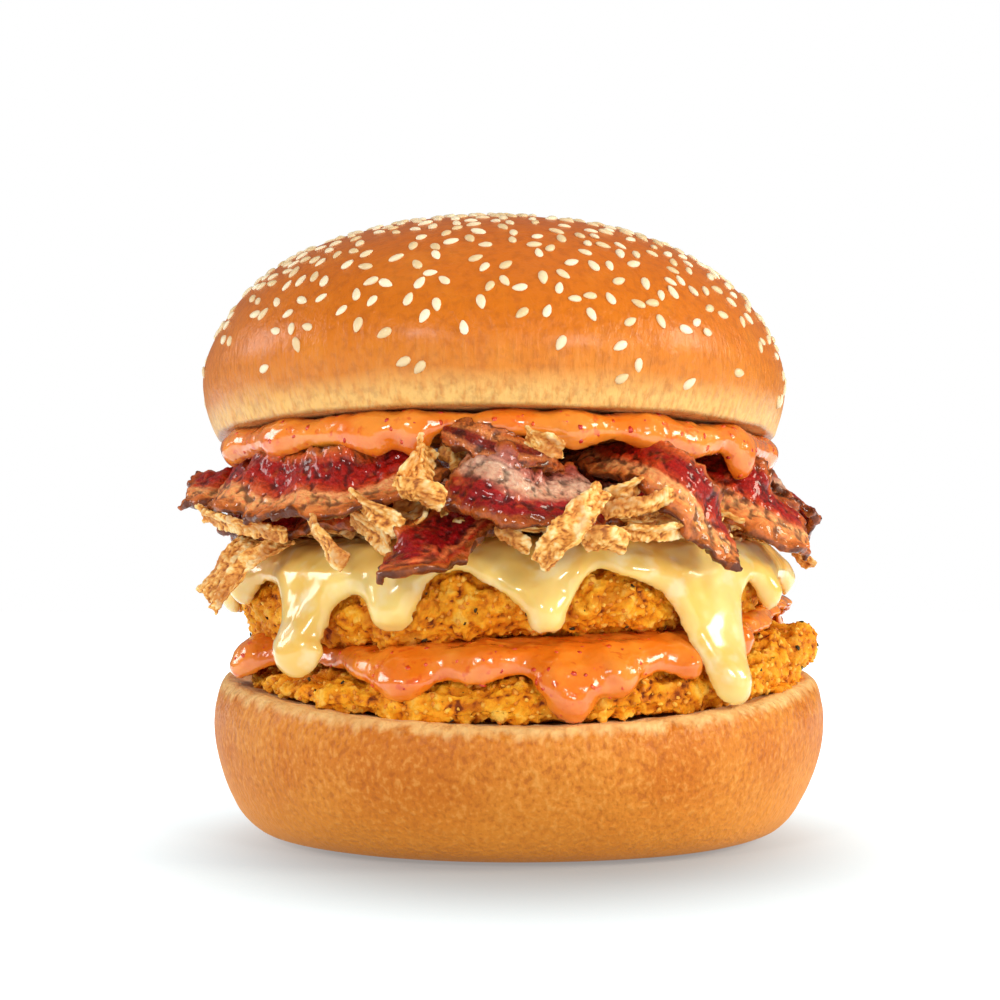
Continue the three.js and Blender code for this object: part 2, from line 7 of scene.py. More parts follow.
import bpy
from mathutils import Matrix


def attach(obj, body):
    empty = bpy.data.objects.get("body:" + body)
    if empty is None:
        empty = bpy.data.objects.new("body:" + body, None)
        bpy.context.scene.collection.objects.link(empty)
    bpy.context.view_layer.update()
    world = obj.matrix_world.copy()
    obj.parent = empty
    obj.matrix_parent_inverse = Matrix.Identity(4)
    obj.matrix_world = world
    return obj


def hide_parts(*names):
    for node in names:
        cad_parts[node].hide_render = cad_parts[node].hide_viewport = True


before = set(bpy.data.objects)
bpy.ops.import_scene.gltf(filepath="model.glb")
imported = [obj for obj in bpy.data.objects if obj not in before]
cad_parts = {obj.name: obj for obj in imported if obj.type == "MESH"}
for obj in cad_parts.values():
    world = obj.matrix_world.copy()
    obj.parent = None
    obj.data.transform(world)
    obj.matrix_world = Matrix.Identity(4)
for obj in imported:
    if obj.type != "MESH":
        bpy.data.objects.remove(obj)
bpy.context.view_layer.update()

import logging
import math
from collections.abc import Callable, Sequence
from dataclasses import dataclass, field
from enum import Enum

import bpy
import numpy as np
from mathutils import Vector, noise

MM = 0.001
BODY = "root"
log = logging.getLogger("burger")

Colour = tuple[float, float, float]
Row = tuple[float, ...]


# Workbench: selecting, shaping and finishing meshes.


def pick(*objects: bpy.types.Object) -> None:
    """Selects these objects alone and makes the first of them active.

    Args:
        objects: what the next operator works on.
    """
    bpy.ops.object.select_all(action="DESELECT")
    for item in objects:
        item.select_set(True)
    bpy.context.view_layer.objects.active = objects[0]


def edit(item: bpy.types.Object) -> None:
    """Opens an object in edit mode with everything in it selected.

    Args:
        item: the mesh object to open.
    """
    pick(item)
    bpy.ops.object.mode_set(mode="EDIT")
    bpy.ops.mesh.select_all(action="SELECT")


def close_edit() -> None:
    """Goes back to object mode."""
    bpy.ops.object.mode_set(mode="OBJECT")


def modify(item: bpy.types.Object, kind: str, **settings: object) -> None:
    """Adds one modifier and applies it at once.

    Args:
        item: the object to change.
        kind: the modifier's type, such as "SUBSURF".
        settings: the modifier's own settings by name.
    """
    pick(item)
    modifier = item.modifiers.new(kind.title(), kind)
    for name, value in settings.items():
        setattr(modifier, name, value)
    bpy.ops.object.modifier_apply(modifier=modifier.name)


def subdivide(item: bpy.types.Object, levels: int) -> None:
    """Rounds a mesh by splitting each of its faces that many times over."""
    modify(item, "SUBSURF", levels=levels, render_levels=levels)


class Grain(Enum):
    """The kinds of unevenness that a surface can be given."""

    WAVES = "SOFT_NOISE"
    LUMPS = "HARD_NOISE"


def roughen(item: bpy.types.Object, grain: Grain, size: float, depth: float, middle: float = 0.5) -> None:
    """Pushes a surface in and out along its normals.

    Args:
        item: the object to roughen.
        grain: smooth waves, or round lumps with creases between them.
        size: the size of one lump, in mm.
        depth: how far the surface moves between a pit and a peak, in mm.
        middle: the level from 0 to 1 that stays where it is.
    """
    texture = bpy.data.textures.new(f"{item.name}_{grain.name.lower()}", "CLOUDS")
    texture.noise_type = grain.value
    texture.noise_scale = size * MM
    texture.noise_depth = 2
    modify(item, "DISPLACE", texture=texture, strength=depth * MM, mid_level=middle, texture_coords="LOCAL")


def points_of(item: bpy.types.Object) -> np.ndarray:
    """Reads a mesh's vertices.

    Args:
        item: the mesh object.

    Returns:
        One row of x, y and z for each vertex, in mm.
    """
    flat = np.empty(len(item.data.vertices) * 3)
    item.data.vertices.foreach_get("co", flat)
    return flat.reshape(-1, 3) / MM


def move_points(item: bpy.types.Object, points: np.ndarray) -> None:
    """Puts a mesh's vertices at new places, given in mm."""
    item.data.vertices.foreach_set("co", (points * MM).ravel())
    item.data.update()


def normals_of(item: bpy.types.Object) -> np.ndarray:
    """Reads the vertex normals of a mesh.

    Args:
        item: the mesh object.

    Returns:
        One unit vector for each vertex.
    """
    flat = np.empty(len(item.data.vertices) * 3)
    item.data.vertex_normals.foreach_get("vector", flat)
    return flat.reshape(-1, 3)


def note(item: bpy.types.Object, name: str, values: np.ndarray) -> None:
    """Writes one number for each vertex under a name, for a material to read."""
    attribute = item.data.attributes.new(name, "FLOAT", "POINT")
    attribute.data.foreach_set("value", values.astype(np.float32))


def note_relief(item: bpy.types.Object, before: np.ndarray, normals: np.ndarray) -> None:
    """Notes how far each point now stands above or below the smooth form, from 0 in a pit to 1 on a peak.

    Args:
        item: the mesh object, now uneven.
        before: its points while it was smooth, in mm.
        normals: its normals while it was smooth.
    """
    height = np.einsum("ij,ij->i", points_of(item) - before, normals)
    low, high = np.percentile(height, [2, 98])
    note(item, "relief", np.clip((height - low) / max(high - low, 1e-6), 0, 1))


def ripples(
    points: np.ndarray, size: float, depth: float = 1.0, squash: Sequence[float] = (1, 1, 1)
) -> np.ndarray:
    """Samples smooth noise at points in mm: waves of that size and depth, longer where squash is below 1."""
    scaled = points * (np.asarray(squash) / size)
    return depth * np.array([noise.noise(Vector(place)) for place in scaled])


def rising(values: np.ndarray, start: float, full: float) -> np.ndarray:
    """Fades from 0 where the values are at start to 1 where they are at full, whichever is higher."""
    return np.clip((values - start) / (full - start), 0, 1)


def smooth_shade(item: bpy.types.Object) -> None:
    """Shades a piece smoothly all over."""
    pick(item)
    bpy.ops.object.shade_smooth()


def loose_copy(node: str, name: str) -> bpy.types.Object:
    """Copies a CAD node's mesh into a new object, with its doubles merged.

    Args:
        node: the CAD node's name.
        name: the new object's name.

    Returns:
        The new object.
    """
    item = bpy.data.objects.new(name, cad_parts[node].data.copy())
    item.data.materials.clear()
    bpy.context.scene.collection.objects.link(item)
    edit(item)
    bpy.ops.mesh.remove_doubles(threshold=0.002 * MM)
    close_edit()
    return item


def in_order(item: bpy.types.Object) -> None:
    """Puts a mesh's faces in one order, because a spin leaves them in another order on every run.

    Args:
        item: the mesh object.
    """
    faces = []
    for face in item.data.polygons:
        corners = list(face.vertices)
        first = corners.index(min(corners))
        faces.append(tuple(corners[first:] + corners[:first]))
    places = [tuple(vertex.co) for vertex in item.data.vertices]
    item.data.clear_geometry()
    item.data.from_pydata(places, [], sorted(faces))
    item.data.update()


def spun(name: str, profile: Sequence[Row], steps: int) -> bpy.types.Object:
    """Spins a side profile round the vertical axis into a closed body.

    Args:
        name: the new object's name.
        profile: radius and height of each point from the bottom pole to the top pole, in mm.
        steps: how many sides the body has before it is rounded.

    Returns:
        The new object.
    """
    bpy.ops.object.select_all(action="DESELECT")
    bpy.ops.mesh.primitive_plane_add(size=MM, location=(0, 0, 0))
    item = bpy.context.active_object
    item.name = item.data.name = name
    edit(item)
    bpy.ops.mesh.merge(type="CENTER")
    radius, height = profile[0]
    bpy.ops.transform.translate(value=(radius * MM, 0, height * MM))
    for (r0, z0), (r1, z1) in zip(profile, profile[1:]):
        step = ((r1 - r0) * MM, 0, (z1 - z0) * MM)
        bpy.ops.mesh.extrude_region_move(TRANSFORM_OT_translate={"value": step})
    bpy.ops.mesh.select_all(action="SELECT")
    bpy.ops.mesh.spin(steps=steps, angle=2 * math.pi, center=(0, 0, 0), axis=(0, 0, 1))
    bpy.ops.mesh.select_all(action="SELECT")
    bpy.ops.mesh.remove_doubles(threshold=0.01 * MM)
    bpy.ops.mesh.normals_make_consistent(inside=False)
    close_edit()
    in_order(item)
    return item


def fit_out(item: bpy.types.Object, material: bpy.types.Material, slot: str, *nodes: str) -> None:
    """Finishes a piece: shading, material, body and the CAD nodes that it stands for.

    Args:
        item: the finished mesh object.
        material: what it is made of.
        slot: the record's material slot; not used.
        nodes: the CAD nodes that it replaces.
    """
    smooth_shade(item)
    item.data.materials.clear()
    item.data.materials.append(material)
    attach(item, BODY)
    if nodes:
        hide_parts(*nodes)
    log.info("%s: %d faces", item.name, len(item.data.polygons))


# Paint: colours and shader nodes.


def paint(red: int, green: int, blue: int) -> Colour:
    """Turns a colour as seen on a screen, with parts from 0 to 255, into the one that a shader takes."""
    shares = [value / 255 for value in (red, green, blue)]
    return tuple(v / 12.92 if v <= 0.04045 else ((v + 0.055) / 1.055) ** 2.4 for v in shares)


class Brush:
    """Lays down the shader nodes of one material and wires them together."""

    def __init__(self, name: str) -> None:
        """Starts a material.

        Args:
            name: the material's name.
        """
        self.material = bpy.data.materials.new(name)
        self.material.use_nodes = True
        self.tree = self.material.node_tree
        self.shader = self.tree.nodes["Principled BSDF"]
        self.place = self.add("ShaderNodeTexCoord").outputs["Object"]

    def add(self, kind: str, **settings: object) -> bpy.types.Node:
        """Adds a node.

        Args:
            kind: the node's type.
            settings: the node's own settings by name.

        Returns:
            The node.
        """
        node = self.tree.nodes.new(kind)
        for name, value in settings.items():
            setattr(node, name, value)
        return node

    def feed(self, target: bpy.types.NodeSocket, source: object) -> None:
        """Wires a socket to another, or sets its value.

        Args:
            target: the input socket.
            source: an output socket, a number or a colour.
        """
        if isinstance(source, bpy.types.NodeSocket):
            self.tree.links.new(source, target)
        elif isinstance(source, tuple) and len(source) == 3 and target.type == "RGBA":
            target.default_value = (*source, 1)
        else:
            target.default_value = source

    def stretched(self, along: tuple[float, float, float], base: object = None) -> bpy.types.NodeSocket:
        """Scales the place at which a pattern is read.

        Args:
            along: the scale along x, y and z, below 1 to draw the pattern out.
            base: the place to scale, or the object's own place.

        Returns:
            The scaled place.
        """
        node = self.add("ShaderNodeMapping")
        self.feed(node.inputs["Vector"], base or self.place)
        node.inputs["Scale"].default_value = along
        return node.outputs["Vector"]

    def noise(
        self, size: float, detail: float, place: object = None, twist: float = 0
    ) -> bpy.types.NodeSocket:
        """Adds cloudy noise.

        Args:
            size: the size of one patch, in mm.
            detail: how many finer layers it has.
            place: where to read it, or the object's own place.
            twist: how much it is distorted.

        Returns:
            A value from 0 to 1.
        """
        node = self.add("ShaderNodeTexNoise")
        self.feed(node.inputs["Vector"], place or self.place)
        node.inputs["Scale"].default_value = 1 / (size * MM)
        node.inputs["Detail"].default_value = detail
        node.inputs["Distortion"].default_value = twist
        return node.outputs["Fac"]

    def cells(self, size: float) -> bpy.types.NodeSocket:
        """Adds a pattern of cells.

        Args:
            size: the size of one cell, in mm.

        Returns:
            The distance from the nearest cell's middle.
        """
        node = self.add("ShaderNodeTexVoronoi")
        self.feed(node.inputs["Vector"], self.place)
        node.inputs["Scale"].default_value = 1 / (size * MM)
        return node.outputs["Distance"]

    def noted(self, name: str) -> bpy.types.NodeSocket:
        """Reads a number that the mesh carries for each vertex under that name."""
        return self.add("ShaderNodeAttribute", attribute_name=name).outputs["Fac"]

    def between(self, value: object, low: float, high: float) -> bpy.types.NodeSocket:
        """Stretches a value so that low becomes 0 and high becomes 1, with a soft start and end.

        Args:
            value: the value to stretch.
            low: what becomes 0.
            high: what becomes 1.

        Returns:
            A value from 0 to 1.
        """
        node = self.add("ShaderNodeMapRange", interpolation_type="SMOOTHSTEP")
        self.feed(node.inputs["Value"], value)
        node.inputs["From Min"].default_value = low
        node.inputs["From Max"].default_value = high
        return node.outputs["Result"]

    def math(self, operation: str, first: object, second: object = 0.0) -> bpy.types.NodeSocket:
        """Works on one or two values.

        Args:
            operation: such as "ADD" or "MULTIPLY".
            first: the first value.
            second: the second value.

        Returns:
            The result.
        """
        node = self.add("ShaderNodeMath", operation=operation)
        self.feed(node.inputs[0], first)
        self.feed(node.inputs[1], second)
        return node.outputs["Value"]

    def scaled(self, value: object, amount: float) -> bpy.types.NodeSocket:
        """Multiplies a value by a number."""
        return self.math("MULTIPLY", value, amount)

    def swayed(self, value: object, pattern: object, amount: float) -> bpy.types.NodeSocket:
        """Moves a value up and down with a pattern from 0 to 1, by the amount from end to end."""
        return self.math("ADD", value, self.scaled(self.math("SUBTRACT", pattern, 0.5), amount))

    def ramp(self, value: object, *stops: tuple[float, Colour]) -> bpy.types.NodeSocket:
        """Turns a value into a colour.

        Args:
            value: a value from 0 to 1.
            stops: position and colour of each stop, in order.

        Returns:
            The colour.
        """
        node = self.add("ShaderNodeValToRGB")
        self.feed(node.inputs["Fac"], value)
        elements = node.color_ramp.elements
        while len(elements) < len(stops):
            elements.new(0.5)
        for element, (position, colour) in zip(elements, stops):
            element.position = position
            element.color = (*colour, 1)
        return node.outputs["Color"]

    def mix(self, amount: object, first: object, second: object, mode: str = "MIX") -> bpy.types.NodeSocket:
        """Lays one colour over another.

        Args:
            amount: how much of the second shows, from 0 to 1.
            first: the colour under it.
            second: the colour over it.
            mode: how they blend.

        Returns:
            The blended colour.
        """
        node = self.add("ShaderNodeMix", data_type="RGBA", blend_type=mode)
        self.feed(node.inputs["Factor"], amount)
        # The node has an A, a B and a Result for each type of data, and these are the colour's.
        self.feed(node.inputs[6], first)
        self.feed(node.inputs[7], second)
        return node.outputs[2]

    def glaze(self, colour: object, tint: object, where: object, amount: float) -> bpy.types.NodeSocket:
        """Lays a thin tint over a colour where a mask is above 0, and at most by the amount."""
        return self.mix(self.scaled(where, amount), colour, tint)

    def bump(self, height: object, depth: float, under: object = None) -> bpy.types.NodeSocket:
        """Adds fine relief that is too small to model.

        Args:
            height: a value from 0 to 1.
            depth: the relief's depth, in mm.
            under: the normal of another bump to build on.

        Returns:
            The new normal.
        """
        node = self.add("ShaderNodeBump")
        self.feed(node.inputs["Height"], height)
        node.inputs["Distance"].default_value = depth * MM
        if under is not None:
            self.feed(node.inputs["Normal"], under)
        return node.outputs["Normal"]

    def finish(self, **inputs: object) -> bpy.types.Material:
        """Wires up the shader itself.

        Args:
            inputs: what goes into the shader, by the input's name in lower case with underscores.

        Returns:
            The finished material.
        """
        names = {socket.name.lower().replace(" ", "_"): socket for socket in self.shader.inputs}
        for name, source in inputs.items():
            self.feed(names[name], source)
        return self.material


# Finishes.


@dataclass(frozen=True)
class CrownCrust:
    """Glossy crust of the top bun: brown on top, golden at the side, cream at the wrinkled lower band."""

    top: Colour = paint(200, 98, 8)
    side: Colour = paint(210, 112, 10)
    low: Colour = paint(212, 120, 12)
    band: Colour = paint(238, 186, 104)
    edge: Colour = paint(120, 54, 14)
    wrinkle: Colour = paint(216, 134, 52)
    freckle: Colour = paint(150, 68, 10)
    golden: Colour = paint(240, 156, 50)
    toasted: Colour = paint(190, 112, 44)
    crumb: Colour = paint(236, 188, 120)
    # The height over the cut edge that counts as 1 on the ramp of colours, in mm.
    ramp_height: float = 44.0

    def material(self) -> bpy.types.Material:
        """Makes the material, which reads "rise", the height over the cut edge in mm, and "face", 1 on it.

        Returns:
            The material.
        """
        brush = Brush("crown_crust")
        rise = brush.noted("rise")
        # The colours drift up and down the side, but not at the cut edge.
        patches = brush.math("SUBTRACT", brush.noise(size=28, detail=3), 0.5)
        drift = brush.scaled(brush.math("MULTIPLY", patches, brush.between(rise, 1, 12)), 11)
        colour = brush.ramp(
            brush.scaled(brush.math("ADD", rise, drift), 1 / self.ramp_height),
            (0.0, self.edge), (0.02, self.band), (0.055, self.band), (0.15, self.low),
            (0.31, self.side), (0.85, self.top),
        )
        band = brush.math("SUBTRACT", 1.0, brush.between(rise, 5, 16))
        wrinkles = brush.noise(size=1.0, detail=4, place=brush.stretched((1, 1, 0.1)))
        dark = brush.math("MULTIPLY", brush.between(wrinkles, 0.46, 0.66), band)
        colour = brush.glaze(colour, self.wrinkle, dark, 0.5)
        freckles = brush.between(brush.noise(size=1.6, detail=5), 0.42, 0.7)
        colour = brush.glaze(colour, self.freckle, freckles, 0.3)
        gilt = brush.between(brush.noise(size=9, detail=4), 0.5, 0.8)
        colour = brush.glaze(colour, self.golden, gilt, 0.25)
        toast = brush.ramp(brush.noise(size=5, detail=6), (0.3, self.toasted), (0.6, self.crumb))
        colour = brush.mix(brush.noted("face"), colour, toast)
        fine = brush.bump(brush.noise(size=0.7, detail=4), depth=0.09)
        skin = brush.bump(brush.noise(size=5, detail=5), depth=0.35, under=fine)
        creases = brush.noise(size=1.2, detail=4, place=brush.stretched((1, 1, 0.45)), twist=0.6)
        lower = brush.math("SUBTRACT", 1.0, brush.between(rise, 14, 30))
        creased = brush.bump(brush.math("MULTIPLY", creases, lower), depth=0.3, under=skin)
        puckered = brush.bump(brush.math("MULTIPLY", wrinkles, band), depth=0.6, under=creased)
        return brush.finish(
            base_color=colour,
            roughness=brush.math("ADD", 0.3, brush.scaled(brush.noise(size=3, detail=4), 0.14)),
            specular_ior_level=0.32,
            coat_weight=0.14,
            coat_roughness=0.2,
            subsurface_weight=0.05,
            subsurface_radius=(1.0, 0.5, 0.25),
            subsurface_scale=0.003,
            normal=puckered,
        )


@dataclass(frozen=True)
class HeelCrust:
    """Matt crust of the bottom bun, with fine pores in painted light and shade, a foot made paler by painted
    light and a pale, torn rim.
    """

    side: Colour = paint(220, 134, 40)
    deep: Colour = paint(208, 116, 24)
    foot: Colour = paint(246, 156, 52)
    rim: Colour = paint(248, 202, 132)
    pore_painted_light: Colour = paint(246, 176, 88)
    pore_dark: Colour = paint(176, 88, 18)
    toasted: Colour = paint(222, 160, 92)
    crumb: Colour = paint(250, 222, 172)

    def material(self) -> bpy.types.Material:
        """Makes the material, which reads "drop", the depth under the rim in mm, and "face", 1 on the cut.

        Returns:
            The material.
        """
        brush = Brush("heel_crust")
        patches = brush.between(brush.noise(size=16, detail=4), 0.35, 0.65)
        colour = brush.mix(patches, self.deep, self.side)
        pores = brush.noise(size=1.0, detail=3, place=brush.stretched((1, 1, 0.8)))
        # Painted light on the raised crust and painted shade in the pits, read from the same pattern as the
        # pores' bump.
        colour = brush.glaze(colour, self.pore_painted_light, brush.between(pores, 0.5, 0.7), 0.42)
        colour = brush.glaze(colour, self.pore_dark, brush.between(pores, 0.5, 0.3), 0.6)
        drop = brush.noted("drop")
        ragged = brush.noise(size=2.2, detail=6, place=brush.stretched((1, 1, 0.3)))
        torn_drop = brush.swayed(drop, ragged, 5)
        # Painted light: the lower side, which faces down, is made paler to stand in for light bounced up from
        # the floor.
        colour = brush.glaze(colour, self.foot, brush.between(torn_drop, 9, 27), 0.8)
        colour = brush.glaze(colour, self.rim, brush.between(torn_drop, 2.5, 0.2), 0.85)
        toast = brush.ramp(brush.noise(size=4, detail=6), (0.3, self.toasted), (0.62, self.crumb))
        colour = brush.mix(brush.noted("face"), colour, toast)
        pits = brush.bump(pores, depth=0.34)
        grain = brush.bump(brush.cells(size=0.8), depth=0.1, under=pits)
        skin = brush.bump(brush.noise(size=6, detail=4), depth=0.4, under=grain)
        upper = brush.between(drop, 11, 2)
        tears = brush.noise(size=2.4, detail=4, place=brush.stretched((1, 1, 0.16)))
        torn = brush.bump(brush.math("MULTIPLY", tears, upper), depth=0.6, under=skin)
        return brush.finish(
            base_color=colour,
            roughness=brush.math("SUBTRACT", 0.54, brush.scaled(upper, 0.16)),
            specular_ior_level=0.25,
            subsurface_weight=0.05,
            subsurface_radius=(1.0, 0.5, 0.25),
            subsurface_scale=0.003,
            normal=torn,
        )


@dataclass(frozen=True)
class Breading:
    """Coarse fried breadcrumb: orange gold, with painted light on the lumps and painted shade in the hollows,
    flecked with herbs.
    """

    pit: Colour = paint(116, 48, 4)
    low: Colour = paint(200, 104, 6)
    middle: Colour = paint(242, 148, 14)
    high: Colour = paint(255, 178, 40)
    tip: Colour = paint(255, 196, 80)
    browned: Colour = paint(178, 80, 8)
    golden: Colour = paint(240, 150, 30)
    fleck: Colour = paint(52, 34, 8)

    def material(self) -> bpy.types.Material:
        """Makes the material, which reads "relief", from 0 in a pit to 1 on a peak.

        Returns:
            The material.
        """
        brush = Brush("breading")
        # The colour follows the relief: painted shade, darkest in the pits, and painted light, brightest at
        # the tips.
        relief = brush.swayed(brush.noted("relief"), brush.noise(size=1.2, detail=4), 0.7)
        colour = brush.ramp(
            relief, (0.0, self.pit), (0.1, self.low), (0.32, self.middle), (0.72, self.high), (1.0, self.tip)
        )
        brown = brush.between(brush.noise(size=8, detail=4), 0.5, 0.68)
        colour = brush.glaze(colour, self.browned, brown, 0.45)
        gilt = brush.between(brush.noise(size=5, detail=3), 0.56, 0.7)
        colour = brush.glaze(colour, self.golden, gilt, 0.5)
        flecks = brush.between(brush.noise(size=1.5, detail=2), 0.73, 0.77)
        colour = brush.mix(flecks, colour, self.fleck)
        grit = brush.bump(brush.noise(size=0.5, detail=5), depth=0.34)
        crumbs = brush.bump(brush.cells(size=1.3), depth=0.3, under=grit)
        return brush.finish(
            base_color=colour,
            roughness=0.6,
            specular_ior_level=0.2,
            subsurface_weight=0.06,
            subsurface_radius=(1.0, 0.45, 0.15),
            subsurface_scale=0.002,
            normal=crumbs,
        )


@dataclass(frozen=True)
class ChilliSauce:
    """Creamy orange chilli sauce, wet and glossy."""

    body: Colour = paint(238, 120, 22)
    pale: Colour = paint(246, 144, 44)
    hot: Colour = paint(214, 60, 12)

    def material(self) -> bpy.types.Material:
        """Makes the material.

        Returns:
            The material.
        """
        brush = Brush("chilli_sauce")
        clouds = brush.between(brush.noise(size=7, detail=3), 0.38, 0.66)
        colour = brush.mix(clouds, self.body, self.pale)
        spots = brush.between(brush.noise(size=2.2, detail=3), 0.58, 0.72)
        colour = brush.glaze(colour, self.hot, spots, 0.6)
        waves = brush.bump(brush.noise(size=2.4, detail=2), depth=0.35)
        return brush.finish(
            base_color=colour,
            roughness=0.2,
            coat_weight=0.8,
            coat_roughness=0.05,
            subsurface_weight=0.2,
            subsurface_radius=(1.0, 0.4, 0.15),
            subsurface_scale=0.003,
            normal=waves,
        )


@dataclass(frozen=True)
class MeltedCheese:
    """Pale yellow melted cheese, smooth and shining."""

    body: Colour = paint(252, 211, 126)
    deep: Colour = paint(250, 196, 98)
    cream: Colour = paint(250, 222, 170)

    def material(self) -> bpy.types.Material:
        """Makes the material.

        Returns:
            The material.
        """
        brush = Brush("melted_cheese")
        clouds = brush.between(brush.noise(size=11, detail=3), 0.35, 0.65)
        colour = brush.mix(clouds, self.deep, self.body)
        streaks = brush.between(brush.noise(size=6, detail=3), 0.52, 0.7)
        colour = brush.glaze(colour, self.cream, streaks, 0.7)
        waves = brush.bump(brush.noise(size=8, detail=2), depth=0.25)
        return brush.finish(
            base_color=colour,
            roughness=0.2,
            coat_weight=0.7,
            coat_roughness=0.06,
            subsurface_weight=0.5,
            subsurface_radius=(1.0, 0.62, 0.25),
            subsurface_scale=0.004,
            normal=waves,
        )


class Cut(Enum):
    """How a rasher's lean and fat lie across it, as position and colour from one edge to the other."""

    LEAN = (
        (0.0, paint(128, 46, 10)), (0.08, paint(220, 112, 46)), (0.17, paint(152, 26, 14)),
        (0.4, paint(134, 8, 12)), (0.7, paint(146, 12, 14)), (0.8, paint(222, 112, 60)),
        (0.88, paint(164, 36, 14)), (1.0, paint(140, 52, 12)),
    )
    EDGED = (
        (0.0, paint(120, 42, 8)), (0.1, paint(200, 84, 34)), (0.2, paint(150, 16, 8)),
        (0.46, paint(166, 22, 10)), (0.58, paint(200, 70, 28)), (0.68, paint(250, 168, 104)),
        (0.86, paint(244, 146, 76)), (1.0, paint(158, 66, 14)),
    )
    STREAKY = (
        (0.0, paint(120, 46, 12)), (0.1, paint(150, 44, 34)), (0.2, paint(184, 108, 92)),
        (0.34, paint(224, 178, 152)), (0.48, paint(216, 160, 130)), (0.58, paint(156, 26, 24)),
        (0.84, paint(140, 14, 16)), (1.0, paint(126, 44, 10)),
    )
    CRISP = (
        (0.0, paint(96, 36, 8)), (0.16, paint(196, 100, 40)), (0.34, paint(218, 132, 70)),
        (0.46, paint(132, 34, 14)), (0.64, paint(112, 22, 12)), (0.78, paint(208, 122, 66)),
        (0.88, paint(158, 66, 24)), (1.0, paint(84, 30, 6)),
    )


@dataclass(frozen=True)
class FriedBacon:
    """Fried bacon: glossy lean and pinkish fat in streaks along the rasher, with burnt edges."""

    cut: Cut
    fibre: Colour = paint(78, 8, 4)
    blotch: Colour = paint(228, 124, 62)
    grain_dark: Colour = (0.16, 0.12, 0.09)
    grain_light: Colour = (1.0, 0.95, 0.9)
    hollow_shade: Colour = paint(42, 8, 4)
    browned: Colour = paint(214, 112, 38)
    burnt: Colour = paint(66, 20, 6)

    def material(self) -> bpy.types.Material:
        """Makes the material, which reads the UV map, "relief", and "edge", which is 1 at the rasher's edge.

        Returns:
            The material.
        """
        brush = Brush(f"bacon_{self.cut.name.lower()}")
        # The UV map is in widths and not in metres, so sizes on it are in thousandths of a width.
        strip = brush.add("ShaderNodeUVMap", uv_map="strip").outputs["UV"]
        split = brush.add("ShaderNodeSeparateXYZ")
        brush.feed(split.inputs[0], strip)
        sway = brush.noise(size=900, detail=3, place=brush.stretched((0.6, 1, 1), strip))
        fray = brush.noise(size=160, detail=4, place=brush.stretched((0.25, 1, 1), strip))
        across = brush.swayed(brush.swayed(split.outputs["Y"], sway, 0.55), fray, 0.22)
        colour = brush.ramp(across, *self.cut.value)
        fibres = brush.noise(size=90, detail=4, place=brush.stretched((0.12, 1, 1), strip))
        colour = brush.glaze(colour, self.fibre, brush.between(fibres, 0.5, 0.75), 0.4)
        blotches = brush.between(brush.noise(size=260, detail=4, place=strip), 0.58, 0.72)
        colour = brush.glaze(colour, self.blotch, blotches, 0.35)
        grains = brush.noise(size=55, detail=5, place=strip)
        grains = brush.ramp(grains, (0.32, self.grain_dark), (0.68, self.grain_light))
        colour = brush.mix(0.42, colour, grains, "OVERLAY")
        # Painted shade darkens the hollows of the relief.
        colour = brush.glaze(colour, self.hollow_shade, brush.between(brush.noted("relief"), 0.46, 0.06), 0.75)
        char = brush.swayed(brush.noted("edge"), brush.noise(size=130, detail=4, place=strip), 0.6)
        colour = brush.glaze(colour, self.browned, brush.between(char, 0.7, 0.92), 0.6)
        colour = brush.glaze(colour, self.burnt, brush.between(char, 0.86, 1.02), 0.85)
        fine = brush.noise(size=60, detail=5, place=brush.stretched((0.3, 1, 1), strip))
        grain = brush.bump(fine, depth=0.2)
        blisters = brush.bump(brush.noise(size=0.7, detail=3), depth=0.22, under=grain)
        crinkle = brush.bump(brush.noise(size=1.5, detail=5, twist=0.8), depth=0.7, under=blisters)
        return brush.finish(
            base_color=colour,
            roughness=brush.math("ADD", 0.3, brush.scaled(brush.noise(size=2.4, detail=3), 0.24)),
            specular_ior_level=0.14,
            coat_weight=0.55,
            coat_roughness=0.06,
            subsurface_weight=0.08,
            subsurface_radius=(1.0, 0.3, 0.2),
            subsurface_scale=0.0015,
            normal=crinkle,
        )


@dataclass(frozen=True)
class OnionBatter:
    """Dry crisp batter on fried onion: pale gold, with painted light on the blisters and painted shade in the
    hollows.
    """

    pit: Colour = paint(150, 76, 18)
    low: Colour = paint(222, 142, 54)
    middle: Colour = paint(250, 188, 98)
    high: Colour = paint(255, 224, 162)
    browned: Colour = paint(190, 106, 36)

    def material(self) -> bpy.types.Material:
        """Makes the material, which reads "relief", from 0 in a pit to 1 on a peak.

        Returns:
            The material.
        """
        brush = Brush("onion_batter")
        relief = brush.swayed(brush.noted("relief"), brush.noise(size=1.1, detail=4), 0.6)
        # The colour follows the relief: painted shade in the pits and painted light on the peaks.
        colour = brush.ramp(
            relief, (0.0, self.pit), (0.24, self.low), (0.52, self.middle), (0.92, self.high)
        )
        brown = brush.between(brush.noise(size=6, detail=3), 0.48, 0.66)
        colour = brush.glaze(colour, self.browned, brown, 0.6)
        grit = brush.bump(brush.noise(size=0.6, detail=5), depth=0.2)
        blisters = brush.bump(brush.cells(size=1.1), depth=0.2, under=grit)
        return brush.finish(
            base_color=colour,
            roughness=0.6,
            specular_ior_level=0.4,
            subsurface_weight=0.12,
            subsurface_radius=(1.0, 0.55, 0.25),
            subsurface_scale=0.0015,
            normal=blisters,
        )


